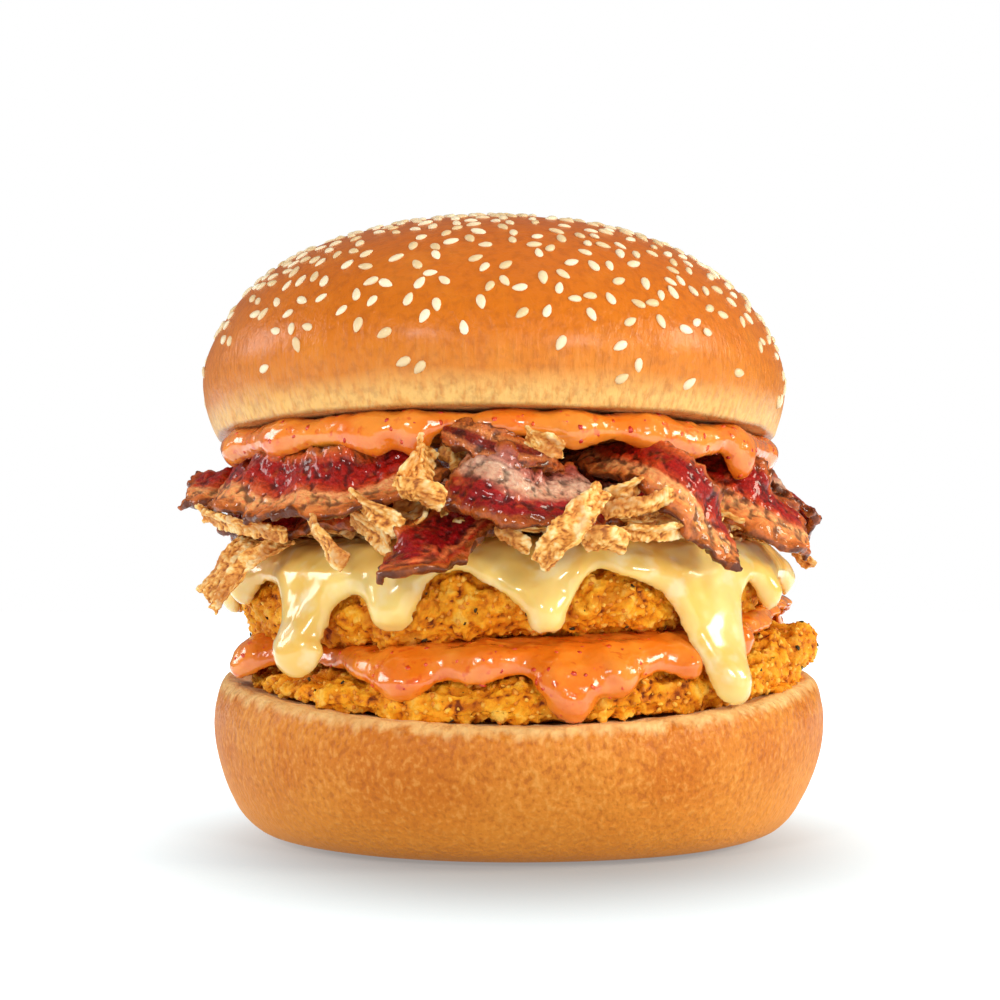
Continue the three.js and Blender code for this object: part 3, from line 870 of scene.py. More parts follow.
@dataclass(frozen=True)
class Speck:
    """One small scattered thing that varies between two colours."""

    name: str
    dark: Colour
    light: Colour
    roughness: float = 0.5
    gloss: float = 0.0

    def material(self) -> bpy.types.Material:
        """Makes the material, which reads "tone", a random number that each copy carries.

        Returns:
            The material.
        """
        brush = Brush(self.name)
        tone = brush.swayed(brush.noted("tone"), brush.noise(size=0.9, detail=3), 0.5)
        return brush.finish(
            base_color=brush.mix(brush.between(tone, 0, 1), self.dark, self.light),
            roughness=self.roughness,
            coat_weight=self.gloss,
            coat_roughness=0.15,
            subsurface_weight=0.1,
            subsurface_radius=(1.0, 0.7, 0.4),
            subsurface_scale=0.0008,
            normal=brush.bump(brush.noise(size=0.5, detail=3), depth=0.04),
        )


# The bun.


@dataclass
class Crown:
    """The top bun with its sesame seeds."""

    centre: float = -4.5
    radius: float = 57.4
    top: float = 118.9
    floor: float = 76.0
    lean: float = -0.03
    sides: int = 96
    # Radius and height of the side, as shares of the whole.
    side: tuple[Row, ...] = (
        (0.0, 0.0), (0.3, 0.0), (0.6, 0.0), (0.82, 0.0), (0.92, 0.002), (0.944, 0.004), (0.952, 0.014),
        (0.961, 0.045), (0.982, 0.12), (0.996, 0.2), (0.998, 0.28), (0.986, 0.36), (0.962, 0.44),
        (0.91, 0.56), (0.84, 0.67), (0.748, 0.77), (0.625, 0.86), (0.475, 0.93), (0.315, 0.975),
        (0.16, 0.996), (0.0, 1.0),
    )
    # How high the puckered band reaches over the cut face, in mm.
    band_height: float = 14.0
    seed_count: int = 760
    seed_tries: int = 14000
    seed_gap: float = 2.7
    # Shares of the height: no seeds below seedless, few below sparse, and more over the next stretch.
    seedless: float = 0.13
    sparse: float = 0.24
    thickening: float = 0.44
    # The share of seeds where they are sparse, and how slowly they get more.
    fewest: float = 0.09
    slowness: float = 1.25
    # The steepest overhang that seeds stick to, as the upward part of its normal.
    overhang: float = -0.3

    @property
    def height(self) -> float:
        """The height of the dome over the cut face, in mm."""
        return self.top - self.floor

    def body(self) -> bpy.types.Object:
        """Spins the dome, leans its cut face and puckers its lower band.

        Returns:
            The bun, not yet dressed.
        """
        profile = [(r * self.radius, z * self.height) for r, z in self.side]
        item = spun("crown_bun", profile, self.sides)
        subdivide(item, 2)
        points = points_of(item)
        radius = np.hypot(points[:, 0], points[:, 1])
        rise = points[:, 2].copy()
        share = rise / self.height
        # The flat cut face ends where the side begins, and the lowest part of the side is puckered.
        outside = rising(radius / self.radius, 0.9, 0.95)
        face = 1 - np.maximum(rising(rise, 0.15, 0.65), outside)
        band = outside * rising(rise, self.band_height, 0) * rising(rise, 0, 0.8)
        pucker = ripples(points, size=1.7, depth=0.26, squash=(1, 1, 0.12))
        pucker += ripples(points, size=5, depth=0.4, squash=(1, 1, 0.2))
        swell = ripples(points, size=34, depth=0.8) + ripples(points + 50, size=13, depth=0.2)
        growth = 1 + (pucker * band + swell * rising(share, 0, 1 / 3)) / self.radius
        points *= growth[:, None] ** [1, 1, 0.5]
        points[:, 2] += self.floor + self.lean * points[:, 1] * (1 - share)
        points[:, 2] += ripples(points, size=22, depth=0.45) * rising(rise, 6, 0) * outside
        points[:, 0] += self.centre
        move_points(item, points)
        note(item, "rise", rise)
        note(item, "face", face)
        return item

    def seeds(self, bun: bpy.types.Object) -> None:
        """Scatters sesame seeds over the dome, thick on top and thin towards the side.

        Args:
            bun: the finished top bun.
        """
        rng = np.random.default_rng(11)
        places = scatter(bun, self.seed_tries, rng)
        rise = (places.points[:, 2] - self.floor) / self.height
        chance = np.clip((rise - self.sparse) / self.thickening, self.fewest, 1) ** self.slowness
        held = (rise > self.seedless) & (places.normals[:, 2] > self.overhang)
        ivory = Speck("sesame_seed", paint(226, 196, 146), paint(248, 232, 198), roughness=0.42, gloss=0.2)
        seeds = Topping(
            "sesame_seeds", SesameSeed(), ivory, gap=self.seed_gap, limit=self.seed_count,
            size=(0.86, 1.04), sink=0.28, tilt=10,
        )
        seeds.strew(places, held & (rng.random(len(rise)) < chance), rng, "bun_crust")

    def make(self) -> None:
        """Builds and dresses the bun and its seeds."""
        bun = self.body()
        fit_out(bun, CrownCrust().material(), "bun_crust", "crown")
        self.seeds(bun)


@dataclass
class Heel:
    """The bottom bun, which stands on its flat base."""

    nominal: float = 31.0
    sides: int = 96
    # Radius and height of the side where the rim stands highest, then of the cut face.
    side: tuple[Row, ...] = (
        (0.0, 0.0), (20.0, 0.0), (34.0, 0.0), (40.0, 0.0), (43.5, 0.1), (46.5, 0.42), (49.0, 1.05),
        (51.2, 2.2), (53.2, 4.2), (55.0, 7.0), (56.7, 10.6), (58.1, 14.8), (59.0, 19.0), (59.3, 22.6),
        (59.1, 25.6), (58.5, 28.2), (57.8, 30.0), (56.9, 30.9), (55.8, 31.1), (54.4, 30.8),
        (51.0, 30.6), (42.0, 30.1), (28.0, 29.5), (12.0, 29.1), (0.0, 29.0),
    )
    # The cut rim: its radius, its height in the middle, and its rise from there to the back and the sides.
    RIM_RADIUS = 56.0
    RIM_HEIGHT = 27.0
    RISE_TO_BACK = 2.9
    RISE_TO_SIDES = 3.9

    @classmethod
    def rim(cls, x: np.ndarray, y: np.ndarray) -> np.ndarray:
        """The height of the cut rim over a point of the plan.

        Args:
            x: places to the right, in mm.
            y: places to the back, in mm.

        Returns:
            Heights in mm.
        """
        inward = np.minimum(1, cls.RIM_RADIUS / np.maximum(np.hypot(x, y), 1e-6))
        across, back = x * inward / cls.RIM_RADIUS, y * inward / cls.RIM_RADIUS
        return cls.RIM_HEIGHT + cls.RISE_TO_BACK * back + cls.RISE_TO_SIDES * across**2

    def body(self) -> bpy.types.Object:
        """Spins the bun and dips its rim at the front.

        Returns:
            The bun, not yet dressed.
        """
        item = spun("heel_bun", self.side, self.sides)
        subdivide(item, 2)
        points = points_of(item)
        radius = np.hypot(points[:, 0], points[:, 1])
        level = points[:, 2].copy()
        # The cut face lies inside the rim. The side swells unevenly, and the rim is torn.
        face = rising(level, 26, 28) * rising(radius, 56.3, 55.5)
        swell = ripples(points, size=30, depth=0.5) + ripples(points + 90, size=9, depth=0.16)
        swell += ripples(points, size=3, depth=0.07)
        swell += ripples(points, size=3.2, depth=0.3, squash=(1, 1, 0.25)) * rising(level, 22, 30)
        points[:, :2] *= (1 + swell * rising(radius, 40, 46) / 57)[:, None]
        rim = self.rim(points[:, 0], points[:, 1])
        points[:, 2] *= rim / self.nominal
        ragged = ripples(points, size=4, depth=0.35) + ripples(points, size=1.6, depth=0.18)
        points[:, 2] += ragged * rising(level, 28.6, 30.2)
        move_points(item, points)
        note(item, "drop", np.maximum(rim - points[:, 2], 0) * (1 - face))
        note(item, "face", face)
        return item

    def make(self) -> None:
        """Builds and dresses the bun."""
        fit_out(self.body(), HeelCrust().material(), "bun_base", "heel")


# Small things and how they are scattered.


@dataclass
class Places:
    """Where small things go: points in mm and the surface's normals there."""

    points: np.ndarray
    normals: np.ndarray

    def thinned(self, keep: np.ndarray, gap: float, limit: int) -> "Places":
        """Keeps places that are wanted and far enough from each other.

        Args:
            keep: True for each place that is wanted.
            gap: the smallest distance between two places, in mm.
            limit: the largest number of places.

        Returns:
            The places kept.
        """
        chosen: list[int] = []
        for index in np.flatnonzero(keep):
            away = np.linalg.norm(self.points[chosen] - self.points[index], axis=1)
            if np.all(away >= gap):
                chosen.append(int(index))
            if len(chosen) == limit:
                break
        return Places(self.points[chosen], self.normals[chosen])


def scatter(item: bpy.types.Object, count: int, rng: np.random.Generator) -> Places:
    """Picks random places all over a surface.

    Args:
        item: the mesh object to scatter on.
        count: how many places.
        rng: the source of chance.

    Returns:
        The places.
    """
    item.data.calc_loop_triangles()
    triangles = np.empty(len(item.data.loop_triangles) * 3, dtype=int)
    item.data.loop_triangles.foreach_get("vertices", triangles)
    a, b, c = (points_of(item)[triangles.reshape(-1, 3)[:, i]] for i in range(3))
    cross = np.cross(b - a, c - a)
    area = np.linalg.norm(cross, axis=1)
    picked = rng.choice(len(area), count, p=area / area.sum())
    u, v = rng.random((2, count))
    # Half of the places fall outside their triangle, and are folded back into it.
    fold = u + v > 1
    u, v = np.where(fold, 1 - u, u), np.where(fold, 1 - v, v)
    points = a[picked] + u[:, None] * (b - a)[picked] + v[:, None] * (c - a)[picked]
    return Places(points, cross[picked] / area[picked][:, None])


def sow(
    name: str,
    master: bpy.types.Object,
    places: Places,
    rng: np.random.Generator,
    size: tuple[float, float],
    sink: float,
    tilt: float,
) -> bpy.types.Object:
    """Copies one small thing to many places and joins the copies into one mesh.

    Args:
        name: the new piece's name.
        master: the small thing, lying flat on the origin; it is used up.
        places: where the copies go.
        rng: the source of chance.
        size: the smallest and largest scale.
        sink: how deep each copy is pressed in, in mm.
        tilt: how far a copy may lean, in degrees.

    Returns:
        The joined piece.
    """
    shape = points_of(master)
    faces = [tuple(face.vertices) for face in master.data.polygons]
    vertices, polygons, tones = [], [], []
    for point, normal in zip(places.points, places.normals):
        # Each copy stands on the surface, leans a little and is turned at random.
        up = Vector(normal + rng.normal(0, math.tan(math.radians(tilt)) / 2, 3)).normalized()
        spin = rng.uniform(0, 2 * math.pi)
        side = up.orthogonal().normalized()
        other = up.cross(side)
        first = side * math.cos(spin) + other * math.sin(spin)
        basis = np.array([first, up.cross(first), up])
        scale = rng.uniform(*size)
        offset = len(polygons) // len(faces) * len(shape)
        vertices.append(shape * scale @ basis + point - np.asarray(up) * sink)
        polygons += [tuple(index + offset for index in face) for face in faces]
        tones += [rng.random()] * len(shape)
    mesh = bpy.data.meshes.new(name)
    mesh.from_pydata((np.vstack(vertices) * MM).tolist(), [], polygons)
    item = bpy.data.objects.new(name, mesh)
    bpy.context.scene.collection.objects.link(item)
    note(item, "tone", np.array(tones))
    bpy.data.objects.remove(master)
    return item


@dataclass
class SesameSeed:
    """A flat seed, round at one end and pointed at the other."""

    length: float = 3.0
    width: float = 1.85
    thickness: float = 1.0

    def master(self) -> bpy.types.Object:
        """Models one seed lying flat on the origin.

        Returns:
            The seed.
        """
        bpy.ops.object.select_all(action="DESELECT")
        bpy.ops.mesh.primitive_ico_sphere_add(subdivisions=2, radius=0.5 * MM)
        item = bpy.context.active_object
        points = points_of(item)
        along = points[:, 0] + 0.5
        taper = 1 - 0.42 * along**2.2
        points *= [self.length, self.width, self.thickness]
        points[:, 1] *= taper
        points[:, 2] = points[:, 2] * (0.6 + 0.4 * taper) + 0.35
        move_points(item, points)
        return item


@dataclass
class Chip:
    """A small angular fragment, such as a crumb, a chilli flake or a herb."""

    length: float
    width: float
    thickness: float
    unevenness: float = 0.16

    def master(self) -> bpy.types.Object:
        """Models one fragment lying flat on the origin.

        Returns:
            The fragment.
        """
        bpy.ops.object.select_all(action="DESELECT")
        bpy.ops.mesh.primitive_ico_sphere_add(subdivisions=1, radius=0.5 * MM)
        item = bpy.context.active_object
        points = points_of(item)
        rng = np.random.default_rng(5)
        points += rng.normal(0, self.unevenness / 2, points.shape)
        move_points(item, points * [self.length, self.width, self.thickness])
        return item


@dataclass
class Topping:
    """Small things strewn over a piece, as one mesh with a finish of its own."""

    name: str
    shape: SesameSeed | Chip
    look: Speck
    gap: float
    limit: int
    size: tuple[float, float]
    sink: float
    tilt: float

    def strew(self, places: Places, wanted: np.ndarray, rng: np.random.Generator, slot: str) -> None:
        """Strews and dresses them.

        Args:
            places: where they could go.
            wanted: True for each place that is wanted.
            rng: the source of chance.
            slot: the record's material slot.
        """
        kept = places.thinned(wanted, self.gap, self.limit)
        item = sow(self.name, self.shape.master(), kept, rng, self.size, self.sink, self.tilt)
        fit_out(item, self.look.material(), slot)


# Soft layers and fillets.


@dataclass
class Fillet:
    """A breaded fillet, grown from its CAD form into crumb."""

    node: str
    voxel: float = 0.52
    # How far the foot of the fillet sags outwards and down, and how far out it may reach.
    sag: float = 0.0
    sag_down: float = 1.4
    sag_limit: float = 55.4
    # The height of the bottom bun's top under the foot, as a share of the height of its rim.
    seat: float = 0.975

    def settle(self, item: bpy.types.Object) -> None:
        """Lets the foot of the fillet sag onto the bottom bun.

        Args:
            item: the fillet, still smooth.
        """
        points = points_of(item)
        radius = np.hypot(points[:, 0], points[:, 1])
        under = Heel.rim(points[:, 0], points[:, 1]) * self.seat
        # The foot is what lies low over the bottom bun, near its rim.
        low = rising(points[:, 2] - under, 9, 2) * rising(radius, 40, 48)
        reach = np.minimum(self.sag * low, np.maximum(self.sag_limit - radius, 0))
        points[:, :2] *= (1 + reach / np.maximum(radius, 1))[:, None]
        points[:, 2] = np.maximum(points[:, 2] - self.sag_down * low, under)
        move_points(item, points)

    def make(self) -> bpy.types.Object:
        """Builds the fillet: large lumps for its form first, and then the crumb.

        Returns:
            The fillet, not yet dressed.
        """
        item = loose_copy(self.node, f"{self.node}_breaded")
        modify(item, "REMESH", mode="VOXEL", voxel_size=self.voxel * MM)
        modify(item, "SMOOTH", factor=0.5, iterations=10)
        if self.sag:
            self.settle(item)
        roughen(item, Grain.WAVES, size=15, depth=2.6, middle=0.52)
        roughen(item, Grain.LUMPS, size=9, depth=3.0, middle=0.42)
        smooth, normals = points_of(item), normals_of(item)
        roughen(item, Grain.LUMPS, size=4, depth=1.6, middle=0.4)
        roughen(item, Grain.LUMPS, size=1.7, depth=1.1, middle=0.4)
        note_relief(item, smooth, normals)
        return item


@dataclass(frozen=True)
class Run:
    """One tongue of a flowing layer, with its half widths from top to bottom, in mm and degrees."""

    bearing: float
    bottom: float
    root: float
    neck: float
    tip: float
    drift: float = 0.0

    # How far above the layer's border a tongue starts, in mm, and where along it its half widths are.
    OVERLAP = 3.0
    WIDTHS_AT = (0, 0.35, 0.7, 0.9, 1)
    # The half width of a tip whose drop swells by 1, and the most that a drop swells.
    USUAL_TIP = 3.5
    MOST_SWELL = 1.4

    def across(self, s: np.ndarray, away: float, border: float, end: float) -> tuple[np.ndarray, np.ndarray]:
        """Measures the tongue along one strip of its layer.

        Args:
            s: how far along the strip each place is, in mm.
            away: how far the strip is from the tongue's middle, in mm.
            border: how far along the strip the layer's border is, in mm.
            end: how far along the strip the tongue ends, in mm.

        Returns:
            How far inside the tongue each place is, and how much of the drop at its tip is there.
        """
        share = np.clip((s - border + self.OVERLAP) / max(end - border + self.OVERLAP, 1), 0, 1)
        widths = (self.root, (self.root + 2 * self.neck) / 3, self.neck, self.tip, self.tip)
        half = np.interp(share, self.WIDTHS_AT, widths)
        side = abs(away - self.drift * share)
        low = end - self.tip
        inside = np.where(s < low, half - side, self.tip - np.hypot(side, s - low))
        drop = np.exp(-(((s - low) / self.tip) ** 2) - (side / self.tip) ** 2)
        return inside, drop * np.clip(self.tip / self.USUAL_TIP, 0, self.MOST_SWELL)


@dataclass
class Flow:
    """A layer that flows over an edge: a sheet with a rounded border and tongues that run down.

    The sheet is laid over a path that is turned about a vertical axis. Its depth at each place comes from how
    far inside its border the place is, so the border and the tongues are round, as thick liquids are.
    """

    name: str
    path: Callable[[float], list[Row]]
    border: Callable[[float], float]
    runs: Sequence[Run]
    depth: float
    rounding: float
    blend: float = 2.6
    bulge: float = 0.9
    insets: Sequence[Row] = ()
    shift: float = 0.0
    girth: float = 54.0
    ripple: float = 0.7
    voxel: float = 0.6
    shell: float = 1.5
    columns: int = 640
    rows: int = 96
    hidden_rows: int = 10
    # How much of the path's end can be seen, in mm, and how many of its last knots only go down.
    seen: float = 36.0
    falling_knots: int = 6
    # How far past its border the sheet is kept, and how far past its root a tongue still counts, in mm.
    hem: float = 0.3
    nearby: float = 12.0

    def make(self) -> bpy.types.Object:
        """Lays, trims, thickens and smooths the sheet.

        Returns:
            The layer, not yet dressed.
        """
        bpy.ops.object.select_all(action="DESELECT")
        bpy.ops.mesh.primitive_grid_add(x_subdivisions=self.columns, y_subdivisions=self.rows, size=MM)
        item = bpy.context.active_object
        item.name = item.data.name = self.name
        # The grid's columns go round the burger and its rows go outwards.
        grid = points_of(item) + 0.5
        column = np.rint(grid[:, 0] * self.columns).astype(int)
        row = np.rint(grid[:, 1] * self.rows).astype(int)
        laid = np.empty((self.columns + 1, self.rows + 1, 3))
        inside = np.empty((self.columns + 1, self.rows + 1))
        for c in range(self.columns + 1):
            laid[c], inside[c] = self.strip(360 * c / self.columns)
        move_points(item, laid[column, row])
        self.trim(item, inside[column, row] > -self.hem)
        modify(item, "SOLIDIFY", thickness=self.shell * MM, offset=-1)
        modify(item, "REMESH", mode="VOXEL", voxel_size=self.voxel * MM)
        modify(item, "SMOOTH", factor=0.5, iterations=7)
        roughen(item, Grain.WAVES, size=9, depth=0.9)
        roughen(item, Grain.WAVES, size=4.5, depth=self.ripple)
        return item

    def strip(self, bearing: float) -> tuple[np.ndarray, np.ndarray]:
        """Works out one radial strip of the sheet.

        Args:
            bearing: its bearing, in degrees.

        Returns:
            The strip's points, and how far each is inside the border, in mm.
        """
        knots = np.array(self.path(bearing))
        steps = np.linalg.norm(np.diff(knots, axis=0), axis=1)
        reach = np.concatenate([[0], np.cumsum(steps)])
        shoulder = max(reach[-1] - self.seen, 1)
        hidden = np.linspace(0, shoulder, self.hidden_rows, endpoint=False)
        s = np.concatenate([hidden, np.linspace(shoulder, reach[-1], self.rows + 1 - self.hidden_rows)])
        r, z = np.interp(s, reach, knots[:, 0]), np.interp(s, reach, knots[:, 1])
        slope = np.stack([np.gradient(r, s), np.gradient(z, s)], axis=1)
        slope /= np.linalg.norm(slope, axis=1)[:, None]

        def reach_at(height: float) -> float:
            """How far along the strip a height is."""
            last = slice(-self.falling_knots, None)
            return float(np.interp(-height, -knots[last, 1], reach[last]))

        border = reach_at(self.border(bearing))
        inside = border - s - swelling(bearing, self.insets)
        swell = np.zeros_like(s)
        for run in self.runs:
            away = math.remainder(bearing - run.bearing, 360) * math.pi / 180 * self.girth
            if abs(away) <= run.root + self.nearby:
                tongue, drop = run.across(s, away, border, reach_at(run.bottom))
                inside = smooth_union(inside, tongue, self.blend)
                swell = np.maximum(swell, drop)
        rounded = np.sqrt(1 - (1 - np.clip(inside / self.rounding, 0, 1)) ** 2)
        depth = (self.depth + self.bulge * swell) * rounded
        r, z = r - slope[:, 1] * depth, z + slope[:, 0] * depth
        angle = math.radians(bearing)
        return np.stack([self.shift + r * math.cos(angle), r * math.sin(angle), z], axis=1), inside

    @staticmethod
    def trim(item: bpy.types.Object, keep: np.ndarray) -> None:
        """Cuts away what lies outside the border and closes the seam.

        Args:
            item: the laid sheet.
            keep: True for each vertex that stays.
        """
        edit(item)
        bpy.ops.mesh.select_all(action="DESELECT")
        bpy.ops.mesh.select_mode(type="VERT")
        close_edit()
        item.data.vertices.foreach_set("select", ~keep)
        bpy.ops.object.mode_set(mode="EDIT")
        bpy.ops.mesh.delete(type="VERT")
        bpy.ops.mesh.select_all(action="SELECT")
        bpy.ops.mesh.remove_doubles(threshold=0.02 * MM)
        bpy.ops.mesh.normals_make_consistent(inside=False)
        close_edit()


def smooth_union(first: np.ndarray, second: np.ndarray, blend: float) -> np.ndarray:
    """Joins two shapes with a rounded corner, each given by how far inside it the places are."""
    overlap = np.clip(0.5 + (second - first) / (2 * blend), 0, 1)
    return first + (second - first) * overlap + blend * overlap * (1 - overlap)


def swelling(bearing: float, bumps: Sequence[Row]) -> float:
    """Adds up smooth bumps of an outline.

    Args:
        bearing: where to measure, in degrees.
        bumps: the bearing, size and spread of each bump.

    Returns:
        The outline's swelling there.
    """
    return sum(
        size * math.exp(-((math.remainder(bearing - at, 360) / spread) ** 2)) for at, size, spread in bumps
    )


@dataclass
class Layers:
    """The layers that flow: lower sauce, cheese and upper sauce, with the edges of what they lie on."""

    # The top of each fillet: radius, height in the middle, and slopes to the right and to the back.
    lower_radius: float = 52.0
    lower_level: float = 36.6
    lower_slope: Row = (0.05, 0.045)
    upper_radius: float = 51.0
    upper_level: float = 54.0
    upper_slope: Row = (0.01, 0.02)
    # The border of each layer: below the lower fillet's top, and as heights.
    lower_drop: float = 2.6
    cheese_border: float = 49.2
    upper_border: float = 71.5
    # Bearing, size and spread of each bump, for the outline of each fillet and for the lower one's top.
    lower_edge: tuple[Row, ...] = (
        (-8, 6.5, 26), (-90, 2.2, 50), (178, -3.5, 30), (120, 2.5, 24), (60, -1.5, 20),
    )
    lower_rise: tuple[Row, ...] = ((-10, 4.4, 22), (130, 2, 30))
    upper_edge: tuple[Row, ...] = (
        (-112, 2.2, 17), (-70, 2.4, 17), (-91, -3.4, 9), (188, 3.5, 30), (10, -1.5, 30), (80, 2.5, 30),
    )
    # The fat lobe of lower sauce at the far left.
    left_lobe: tuple[Row, ...] = ((-158, 3.2, 9),)
    # How far inwards the lower sauce's border lies at the right.
    lower_inset: tuple[Row, ...] = ((-14, 9, 20),)

    @staticmethod
    def at(bearing: float, radius: float) -> tuple[float, float]:
        """Turns a bearing and a radius into x and y."""
        angle = math.radians(bearing)
        return radius * math.cos(angle), radius * math.sin(angle)

    def lower_top(self, bearing: float, radius: float) -> float:
        """Measures the top of the lower fillet.

        Args:
            bearing: which way from the middle, in degrees.
            radius: how far from the middle, in mm.

        Returns:
            Its height, in mm.
        """
        x, y = self.at(bearing, radius)
        right, back = self.lower_slope
        level = self.lower_level + right * x + back * y
        return level + swelling(bearing, self.lower_rise) * (radius / 54) ** 4

    def lower_path(self, bearing: float) -> list[Row]:
        """Follows the lower fillet's top and side, and then hangs.

        Args:
            bearing: which way the path goes from the middle, in degrees.

        Returns:
            Radius and height of each of its knots, in mm.
        """
        edge = self.lower_radius + swelling(bearing, self.lower_edge)
        lobe = swelling(bearing, self.left_lobe)
        shoulder = self.lower_top(bearing, edge) + lobe
        top = [(share * edge, self.lower_top(bearing, share * edge) + 0.9) for share in (0, 0.3, 0.6, 0.84)]
        side = [(edge * 0.94, shoulder - 0.2), (edge + 0.2 + 0.6 * lobe, shoulder - 3.2 + 0.4 * lobe)]
        hang = [(max(edge + 0.7, 54.6) + 0.2 * lobe, shoulder - drop) for drop in (5, 8, 11, 15)]
        return top + side + hang

    def upper_path(self, bearing: float) -> list[Row]:
        """Follows the upper fillet's top and side, and then hangs.

        Args:
            bearing: which way the path goes from the middle, in degrees.

        Returns:
            Radius and height of each of its knots, in mm.
        """
        edge = self.upper_radius + swelling(bearing, self.upper_edge)
        x, y = self.at(bearing, edge)
        right, back = self.upper_slope
        level = self.upper_level + right * x + back * y
        top = [(share * edge, level + 0.8) for share in (0, 0.3, 0.6, 0.86)]
        side = [(edge * 0.95, level - 0.7), (edge + 0.2, level - 4)]
        hang = [(max(edge + 0.5, 51.3 + 0.33 * (47 - z)), z) for z in (46, 40, 33, 25)]
        return top + side + hang

    def crown_path(self, bearing: float) -> list[Row]:
        """Follows the crown's underside, and then hangs over what is under it.

        Args:
            bearing: which way the path goes from the middle, in degrees.

        Returns:
            Radius and height of each of its knots, in mm.
        """
        level = Crown.floor + Crown.lean * self.at(bearing, 54)[1]
        top = [(0, 71), (20, 71), (40, 71.2)]
        side = [(47.5, level - 4.2), (51, level - 3.1)]
        hang = [(r, level - drop) for r, drop in ((51.8, 3.7), (52, 6), (52, 8), (51.6, 10), (51.2, 14))]
        return top + side + hang

    def lower_sauce(self) -> Flow:
        """Lays out the sauce between the fillets.

        Returns:
            The layer.
        """
        runs = (
            Run(-157, 31.4, 6.5, 5, 4.6), Run(-113, 27.4, 10, 8, 6, 1.5), Run(-98, 30.6, 9, 6, 5),
            Run(-81.5, 24.4, 8, 5.5, 4.6), Run(-73, 28.4, 7, 5, 4.4), Run(-58, 31, 6, 4.4, 3.8),
            Run(-43, 34.6, 6, 5, 4.2), Run(18, 35, 7, 5, 4), Run(50, 33.6, 7, 5, 4.2),
            Run(80, 32.4, 8, 5, 4.2), Run(112, 30.4, 7, 4.6, 4.4), Run(142, 33, 7, 5, 4),
            Run(172, 32, 7, 5, 4),
        )
        rises = ((-133, 3.4, 10), (-146, 2.4, 6))

        def border(bearing: float) -> float:
            """The height of the layer's border."""
            level = self.lower_top(bearing, 54) - self.lower_drop + swelling(bearing, rises)
            return level + 0.6 * math.sin(math.radians(7 * bearing + 30))

        return Flow(
            "lower_sauce_layer", self.lower_path, border, runs, depth=3.0, rounding=3.0,
            insets=self.lower_inset,
        )

    def cheese(self) -> Flow:
        """Lays out the melted cheese over the upper fillet.

        Returns:
            The layer.
        """
        runs = (
            Run(-134.5, 31.4, 10.5, 5, 6.2, 0.4), Run(-113.5, 39, 7.5, 4.6, 4.4),
            Run(-85, 39.2, 9, 3.8, 3.4, -0.4), Run(-52, 26.6, 13.5, 5.2, 4.2, 1.6),
            Run(-30, 43, 5, 3.4, 3.2), Run(-8, 45.5, 6, 4, 3.6), Run(14, 42, 6, 3.4, 3.4),
            Run(42, 38, 8, 3.8, 4), Run(66, 45, 6, 4, 3.6), Run(90, 43.5, 7, 4, 3.8),
            Run(112, 46, 6, 4, 3.6), Run(133, 32, 8.5, 3.6, 4.2, 0.6), Run(156, 44, 6, 3.8, 3.6),
            Run(180, 42, 7, 3.8, 3.8), Run(-158, 44, 6, 4, 3.6),
        )
        sags = (
            (-124, 4, 8), (-92, 2.8, 9), (-66, 1.2, 8), (-101, -1.8, 5), (-76, -1.6, 5), (-50, 2, 16),
            (-145, 1, 8),
        )

        def border(bearing: float) -> float:
            """The height of the layer's border."""
            return self.cheese_border - swelling(bearing, sags) + 0.7 * math.sin(math.radians(5 * bearing))

        return Flow(
            "melted_cheese", self.upper_path, border, runs, depth=2.5, rounding=3.2, blend=4.2, bulge=1.3,
            ripple=0.1,
        )

    def upper_sauce(self) -> Flow:
        """Lays out the sauce that is pressed out from under the crown.

        Returns:
            The layer.
        """
        runs = (
            Run(-156, 69.6, 8, 6, 5), Run(-136, 70.4, 9, 7, 5), Run(-113, 69, 7, 5, 4.4),
            Run(-105, 69.4, 5, 4, 3.6), Run(-75, 70.6, 6, 4.4, 3.8), Run(-58, 71, 7, 5, 4.4),
            Run(-34, 66.8, 7, 4.6, 4.2, 2), Run(-12, 69, 8, 5, 4.4), Run(12, 70, 7, 5, 4.2),
            Run(38, 68.6, 7, 5, 4.4), Run(60, 69.4, 8, 5.4, 4.6), Run(86, 70.4, 7, 5, 4.2),
            Run(110, 68.8, 8, 5, 4.4), Run(136, 70.6, 7, 5, 4), Run(164, 69.4, 8, 5, 4.4),
        )
        rises = ((-98, 1.8, 6), (-86, 0.8, 6), (-66, 0.6, 5), (-50, -2.4, 9))

        def border(bearing: float) -> float:
            """The height of the layer's border."""
            return self.upper_border + swelling(bearing, rises) + 0.4 * math.sin(math.radians(6 * bearing))

        return Flow(
            "upper_sauce_layer", self.crown_path, border, runs, depth=2.9, rounding=3.0, bulge=0.7,
            shift=Crown.centre,
        )


# Rashers and strips, modelled flat and then laid along a route.

# The outline of a strip changes along it and hardly across it.
ALONG_STRIP = (1, 0.2, 1)


